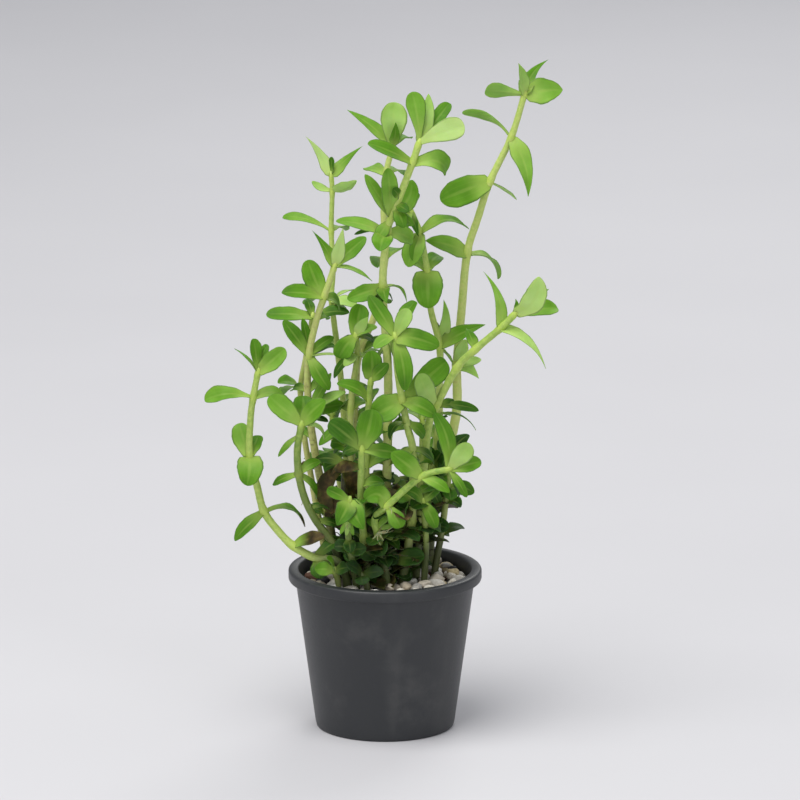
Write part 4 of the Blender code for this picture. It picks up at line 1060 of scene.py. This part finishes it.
def add_stone(builder, ball, centre, size, chance, painted_shade):
    """A worn stone: a ball cut by a few soft flats, stretched and turned."""
    points, faces = ball
    shape = points.copy()
    for _ in range(STONE_CUTS):
        flat = np.array([chance.gauss(0, 1) for _ in range(3)])
        flat /= np.linalg.norm(flat)
        over = np.maximum(shape @ flat - chance.uniform(0.62, 0.9), 0)
        shape -= np.outer(over * 0.86, flat)
    offset = Vector([chance.uniform(-50, 50) for _ in range(3)])
    bumps = [noise.noise(Vector(point) * 2.2 + offset) for point in points]
    shape *= (1 + 0.09 * np.array(bumps))[:, None]
    stretch = np.array([1, chance.uniform(0.7, 0.95), chance.uniform(0.5, 0.75)]) * size / 2
    turn = Matrix.Rotation(chance.uniform(0, math.tau), 3, "Z")
    turn = turn @ Matrix.Rotation(chance.gauss(0, 0.35), 3, "X")
    shape = (shape * stretch) @ np.array(turn.transposed())
    # The second value of its kind is painted shade
    kinds = np.tile([chance.random(), painted_shade, 0], (len(points), 1))
    builder.add((shape + np.array(centre)) * MM, faces, np.zeros((len(points), 3)), kinds)


def stone_layer(chance, height, spacing, outer):
    """Places of stones in one layer, none nearer to another than the spacing."""
    found = []
    for _ in range(STONE_TRIES):
        angle, radius = chance.uniform(0, math.tau), outer * math.sqrt(chance.random())
        place = (radius * math.cos(angle), radius * math.sin(angle))
        if all(math.dist(place, other) > spacing for other in found):
            found.append(place)
    return [(x, y, height + chance.uniform(-0.5, 0.5)) for x, y in found]


def make_gravel(material):
    """Single stones in layers, all inside the pot, with painted shade under the bunch."""
    chance = random.Random(STONE_SEED)
    fine, coarse = stone_form(4), stone_form(3)
    builder = Builder()
    reach = pot_inner_radius(GRAVEL_TOP) - GAP - 2.2
    for layer in STONE_LAYERS:
        ball = fine if layer == STONE_LAYERS[-1] else coarse
        for place in stone_layer(chance, *layer, reach):
            size = chance.uniform(*STONE_SIZES) if chance.random() < 0.75 else STONE_SIZES[0]
            size = min(size, 2 * (pot_inner_radius(place[2]) - math.hypot(*place[:2]) - 0.1))
            if size >= SMALLEST_STONE:
                # Painted shade, deepest under the middle of the bunch
                painted_shade = max(0.0, 1 - math.hypot(place[0] / 15, (place[1] + 2) / 11)) * 0.9
                add_stone(builder, ball, place, size, chance, painted_shade)
    return builder.piece("gravel_stones", [material])


def make_gravel_bed(material):
    """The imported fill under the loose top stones, seen only through the drain holes."""
    bottom, top = POT_FLOOR + GAP, GRAVEL_TOP - BED_UNDER_TOP
    bm = bmesh.new()
    bmesh.ops.create_cone(
        bm, cap_ends=True, segments=72, depth=(top - bottom) * MM,
        radius1=(pot_inner_radius(bottom) - GAP) * MM, radius2=(pot_inner_radius(top) - GAP) * MM,
        matrix=Matrix.Translation((0, 0, (top + bottom) / 2 * MM)),
    )
    points, faces = points_and_faces(bm)
    builder = Builder()
    # A pale stone colour with a little painted shade
    kinds = np.tile([0.1, 0.3, 0], (len(points), 1))
    builder.add(points, faces, np.zeros((len(points), 3)), kinds)
    bed = builder.piece("gravel_bed", [material], ["gravel"])
    bed.data.set_sharp_from_angle(angle=math.radians(40))
    return bed


def pot_profile():
    """The pot's outline from the middle of its floor, over the rim, to the middle of its underside."""
    rim, foot = POT_TOP_RADIUS + RIM_OUT, POT_FOOT_RADIUS
    bottom = POT_HEIGHT - RIM_HEIGHT
    wall = pot_inner_radius(bottom) + POT_WALL
    floor, top = pot_inner_radius(POT_FLOOR), pot_inner_radius(POT_HEIGHT)
    rounded = [
        (rim + RIM_ROUND * (math.sin(angle) - 1), POT_HEIGHT + RIM_ROUND * (math.cos(angle) - 1))
        for angle in np.linspace(0, math.pi / 2, 7)
    ]
    return [
        (0, POT_FLOOR), (floor - 1.2, POT_FLOOR), (floor - 0.35, POT_FLOOR + 0.3),
        (pot_inner_radius(POT_FLOOR + 1.2), POT_FLOOR + 1.2),
        (top - 0.05, POT_HEIGHT - 0.7), (top + 0.1, POT_HEIGHT - 0.25), (top + 0.4, POT_HEIGHT),
        *rounded,
        (rim, bottom + 0.5), (rim - 0.15, bottom + 0.12), (rim - 0.5, bottom),
        (wall + 0.35, bottom), (wall + 0.08, bottom - 0.12), (wall - 0.02, bottom - 0.5),
        (foot + 0.28, 2.2), (foot + 0.05, 0.9), (foot - 0.1, 0.35),
        (foot - 0.45, 0.05), (foot - 0.8, 0), (0, 0),
    ]


def make_pot(material):
    """The cup, turned from its outline, with its drain holes cut."""
    bm = bmesh.new()
    corners = [bm.verts.new((radius * MM, 0, height * MM)) for radius, height in pot_profile()]
    for first, second in zip(corners, corners[1:]):
        bm.edges.new((first, second))
    bmesh.ops.spin(
        bm, geom=bm.verts[:] + bm.edges[:], axis=(0, 0, 1), cent=(0, 0, 0),
        steps=112, angle=math.tau, use_merge=False, use_duplicate=False,
    )
    bmesh.ops.remove_doubles(bm, verts=bm.verts, dist=1e-6)
    bmesh.ops.recalc_face_normals(bm, faces=bm.faces)
    pot = new_object("pot_moulded", new_mesh("pot_moulded", bm))
    bm = bmesh.new()
    for hole in range(DRAIN_HOLES):
        angle = math.tau * (hole + 0.5) / DRAIN_HOLES
        centre = Vector((math.cos(angle), math.sin(angle), 0)) * DRAIN_RING * MM
        bmesh.ops.create_cone(
            bm, cap_ends=True, segments=32, radius1=DRAIN_RADIUS * MM, radius2=DRAIN_RADIUS * MM,
            depth=3 * POT_FLOOR * MM, matrix=Matrix.Translation(centre),
        )
    holes = new_object("holes", new_mesh("holes", bm))
    cut = pot.modifiers.new("holes", "BOOLEAN")
    cut.operation = "DIFFERENCE"
    cut.object = holes
    bpy.context.view_layer.update()
    graph = bpy.context.evaluated_depsgraph_get()
    finished = bpy.data.meshes.new_from_object(pot.evaluated_get(graph))
    pot.modifiers.clear()
    pot.data = finished
    bpy.data.objects.remove(holes)
    pot.data.materials.clear()
    pot.data.materials.append(material)
    pot.data.shade_smooth()
    pot.data.set_sharp_from_angle(angle=math.radians(50))
    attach(pot, "root")
    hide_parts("pot")


# Roots and the bunch's foot

def any_way(chance, *spans):
    """A direction drawn from a span for each axis."""
    return Vector([chance.uniform(*span) for span in spans])


def add_root(builder, start, way, length, thick, age, chance, curl=0.5):
    """One thin root that wanders from its start, tapering to its tip."""
    steps = max(5, round(length / ROOT_STEP))
    point, direction = Vector(start), way.normalized()
    centre = [tuple(point)]
    for _ in range(steps):
        direction += any_way(chance, *[(-curl, curl)] * 3) * 0.55
        direction.normalize()
        point = point + direction * length / steps * MM
        centre.append(tuple(point))
    centre = np.array(centre)
    share = np.linspace(0, 1, len(centre))
    radii = thick / 2 * (1 - 0.65 * share) * MM
    # Painted shade and grime of the foot, more on older roots
    kinds = np.column_stack([np.full(len(share), age), np.zeros(len(share)), shade_and_grime_at(centre) * age])
    add_tube(builder, centre, radii, np.zeros((len(share), 3)), kinds, ROOT_SIDES)


def foot_place(chance, height):
    """A place in the dark foot of the bunch, which widens and leans to the right with height."""
    share = min(1, height / FOOT_WIDENS)
    angle, radius = chance.uniform(0, math.tau), math.sqrt(chance.random())
    radius *= FOOT_RADII[0] + (FOOT_RADII[1] - FOOT_RADII[0]) * share
    across, back = radius * math.cos(angle), radius * math.sin(angle)
    return Vector((-2.8 + 4.5 * share + across, -3 + 4 * share + 1.1 * back, GRAVEL_TOP + height)) * MM


def make_roots(material):
    """Water roots at the low nodes, and fine old roots at the foot."""
    chance = random.Random(ROOT_SEED)
    builder = Builder()
    ground = Vector((0, 0, GRAVEL_TOP)) * MM
    for place, count in WATER_ROOTS:
        for _ in range(count):
            way = any_way(chance, (-1, 1), (-1, 0.6), (-1, 0.3))
            length = chance.uniform(2, 5.5)
            start = ground + seen(*place)
            add_root(builder, start, way, length, thick=0.34, age=0.15, chance=chance)
    for _ in range(OLD_ROOTS):
        start = foot_place(chance, chance.uniform(0, 9))
        way = any_way(chance, (-1, 1), (-1, 1), (-0.3, 0.8))
        length, age = chance.uniform(5, 14), chance.uniform(0.6, 1)
        add_root(builder, start, way, length, thick=0.5, age=age, chance=chance, curl=0.6)
    return builder.piece("roots", [material])


def make_undergrowth(materials):
    """Creeping stems and old leaves that fill the foot of the bunch, dark with age and with painted shade.
    """
    chance = random.Random(FOOT_SEED)
    builder = Builder()
    for _ in range(CREEPERS):
        start = foot_place(chance, chance.uniform(0, 4))
        way = any_way(chance, (-1, 1), (-0.4, 0.8), (0.1, 0.9))
        length, thick = chance.uniform(10, 20), chance.uniform(1, 1.7)
        add_root(builder, start, way, length, thick, age=0.95, chance=chance, curl=0.22)
    for _ in range(OLD_LEAVES):
        height = FOOT_TOP * chance.random() ** 1.2
        node = foot_place(chance, height)
        rise = chance.uniform(-1.5, 2.5) * min(1, height / 4 + 0.2)
        step = level(chance.uniform(0, math.tau), chance.uniform(5.5, 9.5), rise)
        # Very dark tones: old leaves, and painted shade in the foot of the bunch
        tone = 0.3 * DARK + chance.random() ** 3 * (DEEP - DARK)
        width, form = chance.uniform(4, 6), chance.choice(("oval", "broad", "egg"))
        leaf = (0, *step, width, chance.uniform(0, 0.7), chance.uniform(0.3, 1.6), tone, form)
        # Painted shade with some grime, deeper low down
        shade_and_grime = chance.uniform(0.35, 1) - 0.4 * height / FOOT_TOP
        withered = chance.choice((0.0, 0.0, 0.9))
        up = Vector((0, 0, 1))
        add_leaf(builder, node, TWIG_RADIUS * MM, up, leaf, chance, withered, shade_and_grime, small=True)
    return builder.piece("undergrowth", materials)


# The picture

def make_camera():
    camera = new_object("camera", bpy.data.cameras.new("camera"))
    target = Vector((0, 0, GRAVEL_TOP)) * MM + seen(AIM_RIGHT, AIM_UP, 0)
    away = Vector((0, -math.cos(VIEW_ANGLE), math.sin(VIEW_ANGLE)))
    camera.location = target + away * CAMERA_DISTANCE * MM
    camera.rotation_euler = (math.pi / 2 - VIEW_ANGLE, 0, 0)
    camera.data.sensor_width = SENSOR
    camera.data.lens = SENSOR * CAMERA_DISTANCE / FRAME_WIDTH
    camera.data.clip_start = 0.01
    bpy.context.scene.camera = camera


def make_light(name, place, size, power, colour):
    light = bpy.data.lights.new(name, "AREA")
    light.shape = "DISK"
    light.size = size
    light.energy = power
    light.color = colour
    obj = new_object(name, light)
    obj.location = place
    obj.rotation_euler = (LIGHT_AIM - Vector(place)).to_track_quat("-Z", "Y").to_euler()


def make_floor():
    """A wide pale floor."""
    skin = Skin("floor", {"Roughness": 0.8})
    shades = [(0.2, (0.585, 0.58, 0.605)), (0.8, (0.605, 0.6, 0.625))]
    material = skin.finish(skin.ramp(skin.noise(9, 2), shades))
    bm = bmesh.new()
    bmesh.ops.create_circle(bm, cap_ends=True, segments=96, radius=FLOOR_RADIUS)
    floor = new_object("floor", new_mesh("floor", bm))
    floor.data.materials.append(material)


def make_picture():
    make_camera()
    make_floor()
    for light in LIGHTS:
        make_light(*light)
    world = bpy.data.worlds.new("studio")
    world.use_nodes = True
    background = world.node_tree.nodes["Background"]
    background.inputs["Color"].default_value = SKY_COLOUR
    background.inputs["Strength"].default_value = SKY_STRENGTH
    bpy.context.scene.world = world
    bpy.context.scene.view_settings.view_transform = "Standard"


def main():
    make_picture()
    green = [stem_material(), leaf_material()]
    for name, shoot in SHOOTS.items():
        make_shoot(name, shoot, green)
    stones = stone_material()
    make_gravel(stones)
    make_gravel_bed(stones)
    make_pot(pot_material())
    make_roots(root_material())
    make_undergrowth(green)


main()
